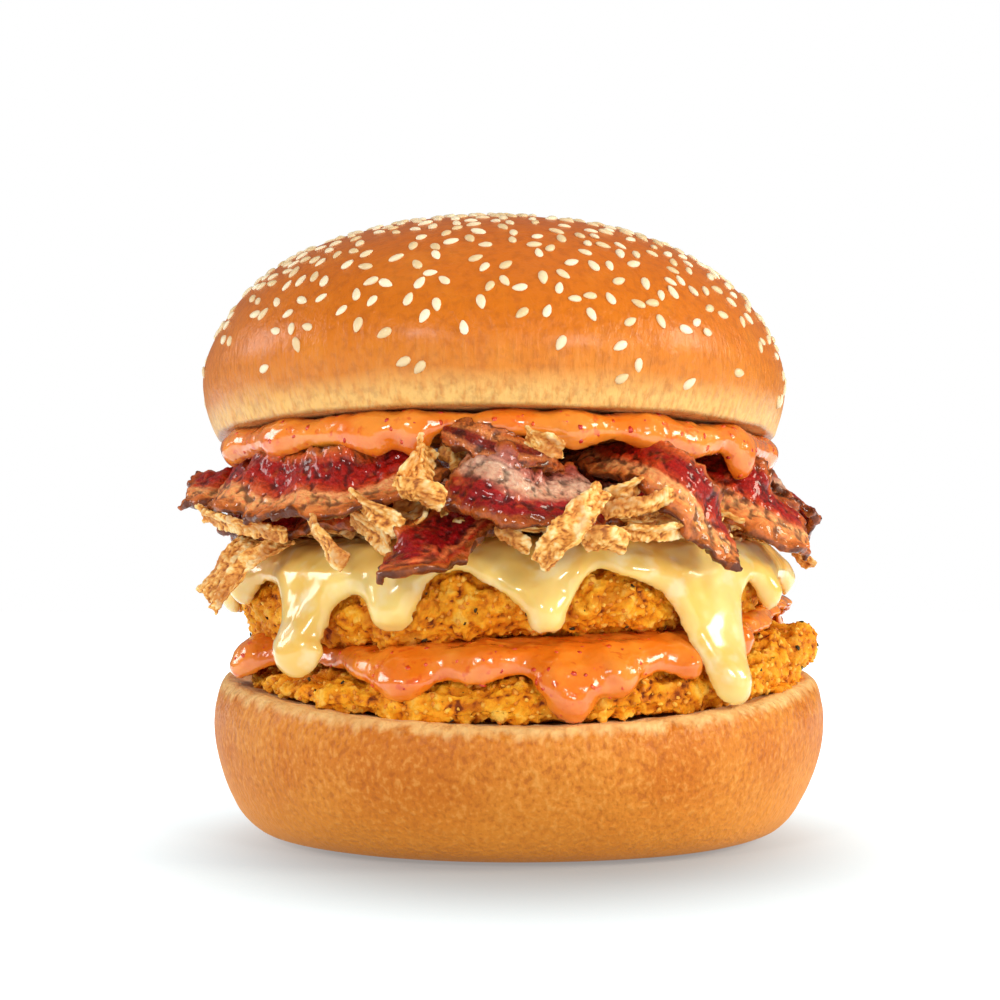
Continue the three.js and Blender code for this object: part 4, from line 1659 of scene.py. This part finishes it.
@dataclass
class Route:
    """A smooth path through stations, each x, y, z, width and roll, in mm and degrees."""

    stations: Sequence[Row]
    samples: int = 240
    table: np.ndarray = field(init=False)
    reach: np.ndarray = field(init=False)

    def __post_init__(self) -> None:
        """Works out the path and how far along it each sample is."""
        knots = np.array(self.stations, dtype=float)
        padded = np.vstack([2 * knots[0] - knots[1], knots, 2 * knots[-1] - knots[-2]])
        rows = []
        for t in np.linspace(0, len(knots) - 1, self.samples):
            k = min(int(t), len(knots) - 2)
            u = t - k
            p0, p1, p2, p3 = padded[k : k + 4]
            bend = (p2 - p0) * u + (2 * p0 - 5 * p1 + 4 * p2 - p3) * u**2 + (3 * p1 - p0 - 3 * p2 + p3) * u**3
            rows.append(p1 + bend / 2)
        self.table = np.array(rows)
        steps = np.linalg.norm(np.diff(self.table[:, :3], axis=0), axis=1)
        self.reach = np.concatenate([[0], np.cumsum(steps)])

    @property
    def length(self) -> float:
        """The path's length, in mm."""
        return float(self.reach[-1])

    def at(self, distance: np.ndarray) -> np.ndarray:
        """Reads x, y, z, width and roll at each distance along the path, in mm."""
        return np.stack([np.interp(distance, self.reach, column) for column in self.table.T], axis=1)

    def lay(self, item: bpy.types.Object) -> None:
        """Bends a flat strip onto the path. The strip lies along X, is 1 mm wide along Y and stands up in Z.

        Args:
            item: the flat strip.
        """
        strip = points_of(item)
        here = self.at(strip[:, 0])
        # The path's own directions at each point: along it, across it and up from its surface.
        ahead = self.at(np.minimum(strip[:, 0] + 1, self.length))[:, :3]
        behind = self.at(np.maximum(strip[:, 0] - 1, 0))[:, :3]
        along = (ahead - behind) / np.linalg.norm(ahead - behind, axis=1)[:, None]
        level = np.cross(along, [0, 0, 1])
        level /= np.linalg.norm(level, axis=1)[:, None]
        roll = np.radians(here[:, 4])[:, None]
        wide = level * np.cos(roll) + np.cross(along, level) * np.sin(roll)
        up = np.cross(wide, along)
        overrun = strip[:, :1] - np.clip(strip[:, :1], 0, self.length)
        spot = here[:, :3] + along * overrun
        move_points(item, spot + wide * strip[:, 1:2] * here[:, 3:4] + up * strip[:, 2:3])


def flat_strip(name: str, length: float, along: int, across: int) -> bpy.types.Object:
    """Models a flat strip with a UV map called strip.

    Args:
        name: the new object's name.
        length: the strip's length, in mm.
        along: how many faces it has along its length.
        across: how many faces it has across.

    Returns:
        The strip, along X from 0 and 1 mm wide about the X axis.
    """
    bpy.ops.object.select_all(action="DESELECT")
    bpy.ops.mesh.primitive_grid_add(x_subdivisions=along, y_subdivisions=across, size=MM, calc_uvs=True)
    item = bpy.context.active_object
    item.name = item.data.name = name
    item.data.uv_layers[0].name = "strip"
    move_points(item, (points_of(item) + [0.5, 0, 0]) * [length, 1, 1])
    return item


@dataclass
class Rasher:
    """A rasher of bacon: rippled, ragged at its edges and streaked along its length."""

    node: str
    cut: Cut
    stations: tuple[Row, ...]
    ripple: float = 0.6
    wave: float = 19.0
    curl: float = 0.5
    thickness: float = 1.7
    cell: float = 0.8
    columns: int = 18

    def sheet(self, length: float, width: float, seed: int) -> bpy.types.Object:
        """Models the rasher as a flat sheet with ripples and ragged edges.

        Args:
            length: its length, in mm.
            width: its mean width, in mm.
            seed: shifts the pattern, so that no two rashers look alike.

        Returns:
            The sheet, about 1 mm wide.
        """
        rows = max(24, round(length / self.cell))
        item = flat_strip(self.node.replace("bacon", "rasher"), length, rows, self.columns)
        points = points_of(item)
        x, v = points[:, 0].copy(), points[:, 1] * 2
        edge, end = np.abs(v), np.abs(2 * x / length - 1)
        place = np.stack([x, v * width / 2, np.full_like(x, seed * 3.7)], axis=1)
        # The outline sways, ripples run along, and the edges and ends are ragged.
        points[:, 1] *= 1 + ripples(place, 7, 0.2, ALONG_STRIP) + ripples(place, 2.6, 0.14, ALONG_STRIP)
        points[:, 2] = self.ripple * 1.5 * np.sin(2 * np.pi * x / self.wave + 0.8 * v) - self.curl * v**2
        points[:, 2] += ripples(place, size=9, depth=1.1) + edge**2.5 * ripples(place, size=4, depth=2.4)
        points[:, 2] += edge**2 * ripples(place + 70, size=1.9, depth=1.2)
        points[:, 1] += np.sign(v) * edge**6 * ripples(place + 90, size=1.7, depth=0.09)
        points[:, 0] += end**12 * ripples(place, size=3.4, depth=1.6)
        move_points(item, points)
        note(item, "edge", np.maximum(edge, end**8))
        return item

    def make(self, materials: dict[Cut, bpy.types.Material]) -> None:
        """Models the rasher flat, lays it along its route and dresses it.

        Args:
            materials: the finish for each cut.
        """
        route = Route(self.stations)
        width = float(np.mean([station[3] for station in self.stations]))
        seed = sum(ord(letter) for letter in self.node)
        item = self.sheet(route.length, width, seed)
        self.spread_uv(item, route.length / width, seed)
        # The strip is 1 mm wide until it is laid out, so it gets its true width while it is thickened.
        self.widen(item, width)
        modify(item, "SOLIDIFY", thickness=self.thickness * MM, offset=0, use_even_offset=True)
        subdivide(item, 1)
        smooth, normals = points_of(item), normals_of(item)
        roughen(item, Grain.LUMPS, size=3.4, depth=1.1, middle=0.4)
        roughen(item, Grain.WAVES, size=1.3, depth=0.7)
        note_relief(item, smooth, normals)
        self.widen(item, 1 / width)
        route.lay(item)
        fit_out(item, materials[self.cut], "bacon", self.node)

    @staticmethod
    def widen(item: bpy.types.Object, factor: float) -> None:
        """Scales a flat strip across its width."""
        move_points(item, points_of(item) * [1, factor, 1])

    @staticmethod
    def spread_uv(item: bpy.types.Object, length: float, seed: int) -> None:
        """Stretches the UV map to the strip's true proportions, so that 1 is its width.

        Args:
            item: the strip.
            length: the strip's length in widths.
            seed: shifts the pattern, so that no two strips look alike.
        """
        layer = item.data.uv_layers["strip"].data
        flat = np.empty(len(layer) * 2)
        layer.foreach_get("uv", flat)
        uv = flat.reshape(-1, 2) * [length, 1] + [seed * 0.37 % 50, 0]
        layer.foreach_set("uv", uv.ravel())


@dataclass
class OnionStrip:
    """A curved strip of onion in crisp batter."""

    name: str
    ends: tuple[Row, Row, Row]
    width: float
    thickness: float
    roll: float
    seed: int
    cell: float = 0.9
    rounds: int = 2
    # The thickness of the ribbon itself, as a share of the thickness that it takes up with its curl.
    ribbon: float = 0.36

    def model(self) -> bpy.types.Object:
        """Models the strip flat and lays it along its route.

        Returns:
            The strip, not yet dressed.
        """
        route = Route([(*end, self.width, self.roll) for end in self.ends])
        along, across = (max(3, round(extent / self.cell)) for extent in (route.length, self.width))
        item = flat_strip(self.name, route.length, along, across)
        points = points_of(item)
        x, v = points[:, 0].copy(), points[:, 1] * 2
        place = np.stack([x, v * self.width / 2, np.full_like(x, self.seed * 5.3)], axis=1)
        share = np.clip(x / route.length, 0, 1)
        # The strip is narrower at its ends, and it curls over to one side or the other.
        taper = 0.66 + 0.34 * np.sin(np.pi * np.clip(share, 0.04, 0.96)) ** 0.5
        uneven = 1 + ripples(place, 4.5, 0.24, ALONG_STRIP) + ripples(place, 1.9, 0.2, ALONG_STRIP)
        points[:, 1] *= taper * uneven * self.width
        curl = 0.9 if self.seed % 2 else -0.9
        points[:, 2] = ripples(place, size=5, depth=1.1) - curl * v**2
        points[:, 0] += np.abs(2 * share - 1) ** 8 * ripples(place, size=2.4, depth=1.2)
        move_points(item, points)
        modify(item, "SOLIDIFY", thickness=self.thickness * self.ribbon * MM, offset=0, use_even_offset=True)
        subdivide(item, self.rounds)
        smooth, normals = points_of(item), normals_of(item)
        roughen(item, Grain.LUMPS, size=2.0, depth=0.7, middle=0.4)
        roughen(item, Grain.LUMPS, size=0.9, depth=0.45, middle=0.4)
        note_relief(item, smooth, normals)
        move_points(item, points_of(item) * [1, 1 / self.width, 1])
        route.lay(item)
        return item


# Assembly.

# Each station of a rasher's route is x, y, z, width and roll.
RASHERS = (
    Rasher("bacon_centre", Cut.STREAKY, (
        (-10.9, -53.5, 66.4, 13, 62), (-3.5, -58, 64.2, 14, 62), (4.5, -56.5, 61.9, 14, 60),
        (14, -43, 62.8, 14, 40), (23, -15, 63.4, 18, 4), (30, 18, 63.6, 20, 0), (34, 47, 62, 17, -14),
    ), wave=22),
    Rasher("bacon_curl", Cut.LEAN, (
        (-23, -59, 49.6, 10, 38), (-17.5, -60.5, 53, 11.5, 42), (-11, -53, 57.6, 12, 36),
        (-4, -43, 60.4, 13, 16), (1, -22, 60.4, 16, 0), (0, 12, 60.4, 18, 0), (-3, 38, 61, 18, -4),
        (-6, 57, 58.6, 15, -16),
    ), ripple=0.5, wave=20),
    Rasher("bacon_right", Cut.EDGED, (
        (10, 44, 69.4, 18, 8), (14, 12, 69.6, 18, 0), (14, -14, 69.9, 16, 0), (16, -37, 71.2, 13, 20),
        (21, -47.5, 69.4, 12, 40), (27, -51.5, 64.8, 13, 52), (32.4, -50, 59, 13.5, 58),
        (37, -46, 53.6, 12, 58),
    ), ripple=0.5, wave=24, curl=0.9),
    Rasher("bacon_across", Cut.EDGED, (
        (-64, -8, 66.6, 13, 34), (-53, -10, 67, 15, 24), (-36, -6, 66.4, 17, 2), (-16, -2, 66.4, 18, 0),
        (4, -4, 66.6, 18, 0), (20, -12, 67.6, 18, 4), (32, -24, 68.5, 17, 32),
        (41.4, -30, 64.6, 16, 52), (47.4, -28, 60.6, 15, 66), (52, -21, 57.6, 14, 70),
    ), wave=21, curl=0.4),
    Rasher("bacon_left", Cut.EDGED, (
        (-50, 16, 68, 15, 30), (-54, -14, 67, 15, 48), (-47.5, -33, 65.4, 15, 54),
        (-36, -45.6, 64.2, 15, 56), (-24.6, -50, 65.4, 14, 52), (-14, -45, 69, 12, 40),
    ), ripple=0.8, wave=21, curl=-1.2),
    Rasher("bacon_left_under", Cut.LEAN, (
        (-47, 14, 61.8, 14, 20), (-50, -12, 61.2, 14, 40), (-41, -31, 60.6, 12, 50),
        (-30, -40, 61.8, 10, 50), (-19, -40, 63.4, 10, 40),
    ), ripple=0.5, wave=18, curl=0.2),
    Rasher("bacon_top", Cut.CRISP, (
        (-12.9, -51.5, 73.6, 4.6, 52), (-6, -55, 71.4, 6.4, 54), (1.6, -54, 69.6, 7, 54),
        (6, -46, 69.6, 8, 40),
    ), ripple=0.4, wave=16, curl=0.3),
    Rasher("bacon_right_side", Cut.STREAKY, (
        (52, -6, 66, 12, 40), (54, 6, 63.4, 15, 52), (51, 20, 63.6, 16, 54), (42, 32, 66.4, 15, 46),
    ), wave=17, curl=-0.8),
    Rasher("bacon_back_right", Cut.CRISP, (
        (44, 36, 57.4, 12, 42), (35, 46.5, 60.6, 15, 50), (23, 52, 65.4, 15, 50), (9, 51, 69, 13, 36),
    ), wave=20, curl=0.6),
    Rasher("bacon_back", Cut.LEAN, (
        (2, 57, 60.2, 11, 48), (-10, 55, 63.6, 15, 54), (-22, 50.5, 66.6, 16, 50),
        (-33, 41, 69.2, 13, 34),
    ), wave=18, curl=-0.9),
    Rasher("bacon_back_left", Cut.STREAKY, (
        (-30, 49, 60.2, 12, 40), (-41, 42, 61.4, 15, 52), (-51, 29, 63.6, 15, 54),
        (-56.5, 14, 64.8, 12, 44),
    ), wave=19),
)

# The strips at the front, from left to right: start, middle, end, width, thickness and roll.
FRONT_ONIONS = (
    ((-46, -30, 57.6), (-52.5, -33, 52.5), (-57.6, -33.5, 45.2), 8, 4, -40),
    ((-41, -36, 55.6), (-48.4, -38.5, 51.6), (-54.4, -38.5, 43), 3.4, 2.6, -50),
    ((-59.5, -25, 61.4), (-51, -35.4, 58.8), (-41.5, -43, 57), 5, 3, -40),
    ((-36.6, -50.5, 58.6), (-34, -55.4, 54.4), (-29.8, -57.6, 50.6), 5, 3, -60),
    ((-28.8, -53, 63), (-24.4, -57.4, 60), (-20, -58, 57), 4.6, 3, -60),
    ((-16.2, -54, 71.4), (-17.4, -57.6, 66.5), (-19.2, -58.4, 62), 7, 2.6, -84),
    ((-10.6, -49, 72), (-11.6, -49.6, 68.4), (-11.6, -48.6, 65), 6.2, 2.4, -84),
    ((-21, -59.6, 63.2), (-17, -61.2, 62.8), (-12.8, -60.4, 60.6), 5, 2.8, -60),
    ((-30, -46, 60.4), (-26.4, -50.6, 57.6), (-21.6, -53.6, 54.2), 6.4, 2.8, -55),
    ((13.8, -61.5, 63.4), (8.3, -64.8, 56.8), (3, -64.2, 50.3), 5.2, 3, -66),
    ((14.6, -55.5, 61.6), (17.5, -56, 63.2), (20.6, -53.5, 65), 4.8, 2.6, -60),
    ((13.6, -58.4, 59.2), (20, -58.6, 60.4), (26.4, -56.4, 62.6), 4, 2.6, -60),
    ((15, -54.4, 56.6), (22.3, -56.4, 56.6), (30, -53.4, 57.2), 3.6, 2.6, -50),
    ((10, -59.4, 54.6), (14, -60.2, 55), (18, -57.6, 53.6), 5.6, 2.8, -50),
    ((1, -55.6, 73), (4, -58, 71.6), (7.2, -57.6, 69.8), 4.2, 2.4, -60),
    ((-4.4, -57, 55.8), (-1.4, -58.6, 54.8), (1.6, -58, 53.2), 4, 2.6, -50),
)

# The others: bearing, height of the root, reach past the heap, drop of the tip, and swing round the burger.
RIM_ONIONS = (
    (-10, 59.8, 14, 8, 8), (7, 60.4, 14, 9, -6), (26, 59.8, 13, 7, -10), (36, 59.6, 14, 10, 8),
    (56, 60.4, 13, 8, -8), (69, 59.8, 14, 10, 8), (88, 60.2, 13, 7, -10), (100, 59.8, 15, 11, 8),
    (118, 60.4, 13, 8, 8), (134, 59.8, 14, 10, -6), (150, 60.4, 13, 8, 8), (168, 59.8, 14, 9, -8),
    (184, 60, 14, 8, 6),
)


@dataclass
class Onions:
    """The fried onions: strips that show one by one, and the heap in the middle."""

    heap_radius: float = 38.0
    # How far past the heap's radius a strip at its rim starts, in mm.
    root: float = 3.5
    rim_width: float = 5.4
    rim_thickness: float = 2.9
    # Strips are thinner than their CAD forms, so they move in by this share of their thickness.
    rest: float = 0.32
    heap_strips: int = 190
    heap_cell: float = 1.25
    # One strip of the heap in so many lies at the front, between these bearings.
    front_every: int = 5
    front_bearings: Row = (-152, -36)
    front_radii: Row = (47, 51)
    other_radii: Row = (36, 48)
    heights: Row = (57.6, 61)
    half_lengths: Row = (4, 9)
    widths: Row = (2.2, 4.2)
    heap_thickness: float = 2.4
    # How far a strip of the heap turns from lying round the burger, in radians, and rolls, in degrees.
    turn: float = 1.3
    roll: float = 70.0

    def rim_strip(self, row: Row, index: int) -> tuple:
        """Works out a strip that sticks out of the heap.

        Args:
            row: its bearing, height, reach, drop and swing.
            index: its number among the rim strips.

        Returns:
            Start, middle, end, width, thickness and roll.
        """
        bearing, height, reach, drop, swing = row

        def place(share: float, rise: float) -> Row:
            """Finds a point of the strip.

            Args:
                share: how far along the strip it is, from 0 to 1.
                rise: its height over the root, in mm.

            Returns:
                Its x, y and z, in mm.
            """
            angle = math.radians(bearing + swing * share)
            radius = self.heap_radius + self.root + (reach + self.root) * share
            return (radius * math.cos(angle), radius * math.sin(angle), height + rise)

        ends = (place(0, 0), place(0.55, 0.6), place(1, -drop))
        return (*ends, self.rim_width + math.sin(5 * index), self.rim_thickness, 15 * math.sin(3 * index))

    @staticmethod
    def settled(place: Row, depth: float) -> Row:
        """Moves a place towards the burger's axis.

        Args:
            place: x, y and z, in mm.
            depth: how far it moves, in mm.

        Returns:
            The new place.
        """
        x, y, z = place
        share = 1 - depth / math.hypot(x, y)
        return (x * share, y * share, z)

    def heap_strip(self, index: int, rng: np.random.Generator) -> OnionStrip:
        """Places one small strip of the heap.

        Args:
            index: its number in the heap.
            rng: the source of chance.

        Returns:
            The strip.
        """
        front = index % self.front_every == 0
        bearing = math.radians(rng.uniform(*self.front_bearings)) if front else rng.uniform(0, 2 * math.pi)
        radius = rng.uniform(*(self.front_radii if front else self.other_radii))
        turn = bearing + rng.uniform(-self.turn, self.turn) + math.pi / 2
        half = rng.uniform(*self.half_lengths)
        x, y = radius * math.cos(bearing), radius * math.sin(bearing)
        middle = np.array([x, y, rng.uniform(*self.heights)])
        reach = np.array([math.cos(turn), math.sin(turn), rng.uniform(-0.25, 0.25)]) * half
        lift = np.array([0, 0, rng.uniform(-0.8, 1.2)])
        ends = (tuple(middle - reach), tuple(middle + lift), tuple(middle + reach))
        width, roll = rng.uniform(*self.widths), rng.uniform(-self.roll, self.roll)
        return OnionStrip(
            f"heap_strip_{index}", ends, width, self.heap_thickness, roll, index,
            cell=self.heap_cell, rounds=1,
        )

    def heap(self) -> bpy.types.Object:
        """Piles small strips over a smaller core.

        Returns:
            The heap as one piece.
        """
        core = loose_copy("onion_heap", "onion_heap_strips")
        modify(core, "REMESH", mode="VOXEL", voxel_size=0.9 * MM)
        smooth, normals = points_of(core), normals_of(core)
        roughen(core, Grain.LUMPS, size=4, depth=1.4, middle=0.9)
        note_relief(core, smooth, normals)
        rng = np.random.default_rng(23)
        pick(core, *(self.heap_strip(index, rng).model() for index in range(self.heap_strips)))
        bpy.ops.object.join()
        return core

    def make(self) -> None:
        """Builds and dresses the strips and the heap."""
        batter = OnionBatter().material()
        rows = [*FRONT_ONIONS, *(self.rim_strip(row, i) for i, row in enumerate(RIM_ONIONS))]
        for number, (start, middle, end, width, thickness, roll) in enumerate(rows, 1):
            ends = tuple(self.settled(place, self.rest * thickness) for place in (start, middle, end))
            strip = OnionStrip(f"fried_onion_{number:02d}", ends, width, thickness, roll, number)
            fit_out(strip.model(), batter, "fried_onion", f"onion_{number:02d}")
        fit_out(self.heap(), batter, "fried_onion", "onion_heap")


@dataclass
class Filling:
    """Everything between the two halves of the bun."""

    fillet_tries: int = 16000
    sauce_tries: int = 6000
    # Small things lie outside these radii, in mm, and only where a fillet faces outwards at least so much.
    fillet_rim: float = 43.0
    sauce_rim: float = 44.0
    outward: float = 0.15

    def fillets(self) -> None:
        """Builds both fillets and strews crumbs and herbs over their sides."""
        breading = Breading().material()
        for node, sag, seed in (("lower_fillet", 4.0, 31), ("upper_fillet", 0.0, 47)):
            item = Fillet(node, sag=sag).make()
            fit_out(item, breading, "breading", node)
            golden = Speck(f"{node}_crumb", paint(222, 126, 10), paint(255, 196, 72), roughness=0.6)
            crumbs = Topping(
                f"{node}_crumbs", Chip(1.7, 1.2, 0.8, unevenness=0.24), golden, gap=1.1, limit=1500,
                size=(0.4, 1.1), sink=0.12, tilt=50,
            )
            green = Speck(f"{node}_herb", paint(34, 26, 6), paint(84, 74, 22), roughness=0.6)
            herbs = Topping(
                f"{node}_herbs", Chip(1.7, 0.8, 0.3), green, gap=7, limit=90,
                size=(0.5, 1.1), sink=-0.35, tilt=30,
            )
            rng = np.random.default_rng(seed)
            places = scatter(item, self.fillet_tries, rng)
            radius = np.hypot(places.points[:, 0], places.points[:, 1])
            facing = np.einsum("ij,ij->i", places.normals[:, :2], places.points[:, :2]) / radius
            rim = (radius > self.fillet_rim) & (facing > self.outward)
            for topping in (crumbs, herbs):
                topping.strew(places, rim, rng, "breading")

    def sauces(self) -> None:
        """Builds both layers of sauce and sprinkles chilli flakes over them."""
        sauce = ChilliSauce().material()
        layers = Layers()
        for layer, node, seed in (
            (layers.lower_sauce(), "lower_sauce", 3),
            (layers.upper_sauce(), "upper_sauce", 8),
        ):
            item = layer.make()
            fit_out(item, sauce, "sauce", node)
            red = Speck(
                f"{node}_chilli_flake", paint(196, 22, 4), paint(236, 84, 24), roughness=0.35, gloss=0.4
            )
            flakes = Topping(
                f"{node}_chilli", Chip(1.5, 1.0, 0.4), red, gap=2.0, limit=480,
                size=(0.4, 1.2), sink=0.08, tilt=20,
            )
            rng = np.random.default_rng(seed)
            places = scatter(item, self.sauce_tries, rng)
            radius = np.hypot(places.points[:, 0], places.points[:, 1])
            flakes.strew(places, radius > self.sauce_rim, rng, "sauce")

    def cheese(self) -> None:
        """Builds the melted cheese."""
        item = Layers().cheese().make()
        fit_out(item, MeltedCheese().material(), "cheese", "cheese")

    def rashers(self) -> None:
        """Builds every rasher."""
        materials = {cut: FriedBacon(cut).material() for cut in Cut}
        for rasher in RASHERS:
            rasher.make(materials)

    def make(self) -> None:
        """Builds the filling from the bottom up."""
        self.fillets()
        self.sauces()
        self.cheese()
        self.rashers()
        Onions().make()


# Studio.


@dataclass(frozen=True)
class Lamp:
    """A soft square light that faces the burger, with its place and side in m and its power in W."""

    name: str
    place: Row
    side: float
    power: float
    tint: Colour
    mirrored: bool = True

    def hang(self) -> None:
        """Hangs the light."""
        data = bpy.data.lights.new(self.name, "AREA")
        data.size = self.side
        data.energy = self.power
        data.color = self.tint
        item = bpy.data.objects.new(self.name, data)
        item.location = self.place
        item.visible_glossy = self.mirrored
        burger = Vector((0, 0, 0.06))
        item.rotation_euler = (burger - Vector(self.place)).to_track_quat("-Z", "Y").to_euler()
        bpy.context.scene.collection.objects.link(item)


LAMPS = (
    Lamp("left", (-0.95, 0.15, 0.42), 0.36, 2.7, (1.0, 0.97, 0.95)),
    Lamp("right", (0.95, -0.2, 0.48), 0.36, 6.4, (1.0, 0.94, 0.76)),
    Lamp("key", (-0.5, -1.05, 0.6), 0.24, 4.4, (1.0, 0.98, 0.95)),
    Lamp("fill", (0.55, -1.0, 0.45), 0.24, 3.9, (1.0, 0.97, 0.93)),
    Lamp("top", (0, 0.1, 1.1), 0.8, 3.0, (1.0, 1.0, 1.0), mirrored=False),
)


@dataclass
class Studio:
    """A pale floor, soft lights and the photograph's camera."""

    floor_size: float = 12.0
    # The photograph's frame, the camera's focal length and the height of its horizon, in pixels.
    frame_pixels: float = 1000.0
    focal_pixels: float = 1789.6
    horizon_pixels: float = 100.0
    eye: Row = (-3.5, -354.0, 45.0)
    # The light from all round, as a share of the white that the camera sees behind the burger.
    ambient: float = 0.2

    def floor(self) -> None:
        """Lays the floor, whose glow is weaker in an oval round the burger: a painted soft shadow."""
        bpy.ops.object.select_all(action="DESELECT")
        bpy.ops.mesh.primitive_plane_add(size=self.floor_size, location=(0, 0, 0))
        item = bpy.context.active_object
        item.name = "studio_floor"
        brush = Brush("studio_floor")
        tint = brush.mix(brush.noise(size=400, detail=2), (0.3, 0.3, 0.3), (0.31, 0.31, 0.31))
        # The painted shadow's oval lies a little towards the camera.
        oval = brush.add("ShaderNodeVectorMath", operation="MULTIPLY_ADD")
        brush.feed(oval.inputs[0], brush.place)
        oval.inputs[1].default_value = (1.25, 0.9, 1)
        oval.inputs[2].default_value = (0, 0.014, 0)
        away = brush.add("ShaderNodeVectorMath", operation="LENGTH")
        brush.feed(away.inputs[0], oval.outputs["Vector"])
        distance = away.outputs["Value"]
        # The glow rises out of the painted shadow, and again farther out so that the far floor is white.
        near = brush.scaled(brush.between(distance, 0.035, 0.1), 0.64)
        far = brush.scaled(brush.between(distance, 0.09, 0.25), 0.4)
        material = brush.finish(
            base_color=tint,
            roughness=0.9,
            specular_ior_level=0.1,
            # The glow is a little cool, so that the painted shadow looks neutral grey.
            emission_color=(0.9, 0.98, 1.0),
            emission_strength=brush.math("ADD", 0.26, brush.math("ADD", near, far)),
        )
        item.data.materials.append(material)

    def camera(self) -> None:
        """Sets the camera where the photograph's stood."""
        data = bpy.data.cameras.new("camera")
        data.sensor_width = 36
        data.lens = data.sensor_width * self.focal_pixels / self.frame_pixels
        data.clip_start = 0.01
        item = bpy.data.objects.new("camera", data)
        item.location = [value * MM for value in self.eye]
        item.rotation_euler = (math.pi / 2 + math.atan(self.horizon_pixels / self.focal_pixels), 0, 0)
        bpy.context.scene.collection.objects.link(item)
        bpy.context.scene.camera = item

    def sky(self) -> None:
        """Surrounds everything with white, which lights the burger more weakly than the camera sees it."""
        world = bpy.data.worlds.new("studio")
        world.use_nodes = True
        nodes, links = world.node_tree.nodes, world.node_tree.links
        background = nodes["Background"]
        background.inputs["Color"].default_value = (1, 1, 1, 1)
        ray = nodes.new("ShaderNodeLightPath")
        strength = nodes.new("ShaderNodeMapRange")
        strength.inputs["To Min"].default_value = self.ambient
        links.new(ray.outputs["Is Camera Ray"], strength.inputs["Value"])
        links.new(strength.outputs["Result"], background.inputs["Strength"])
        bpy.context.scene.world = world

    def make(self) -> None:
        """Sets up the whole studio."""
        self.floor()
        self.camera()
        for lamp in LAMPS:
            lamp.hang()
        self.sky()
        bpy.context.scene.view_settings.view_transform = "Standard"


def main() -> None:
    """Builds the studio and the burger."""
    logging.basicConfig(level=logging.INFO, format="%(message)s")
    for maker in (Studio(), Heel(), Crown(), Filling()):
        maker.make()
        log.info("%s is done", type(maker).__name__)


if __name__ == "__main__":
    main()
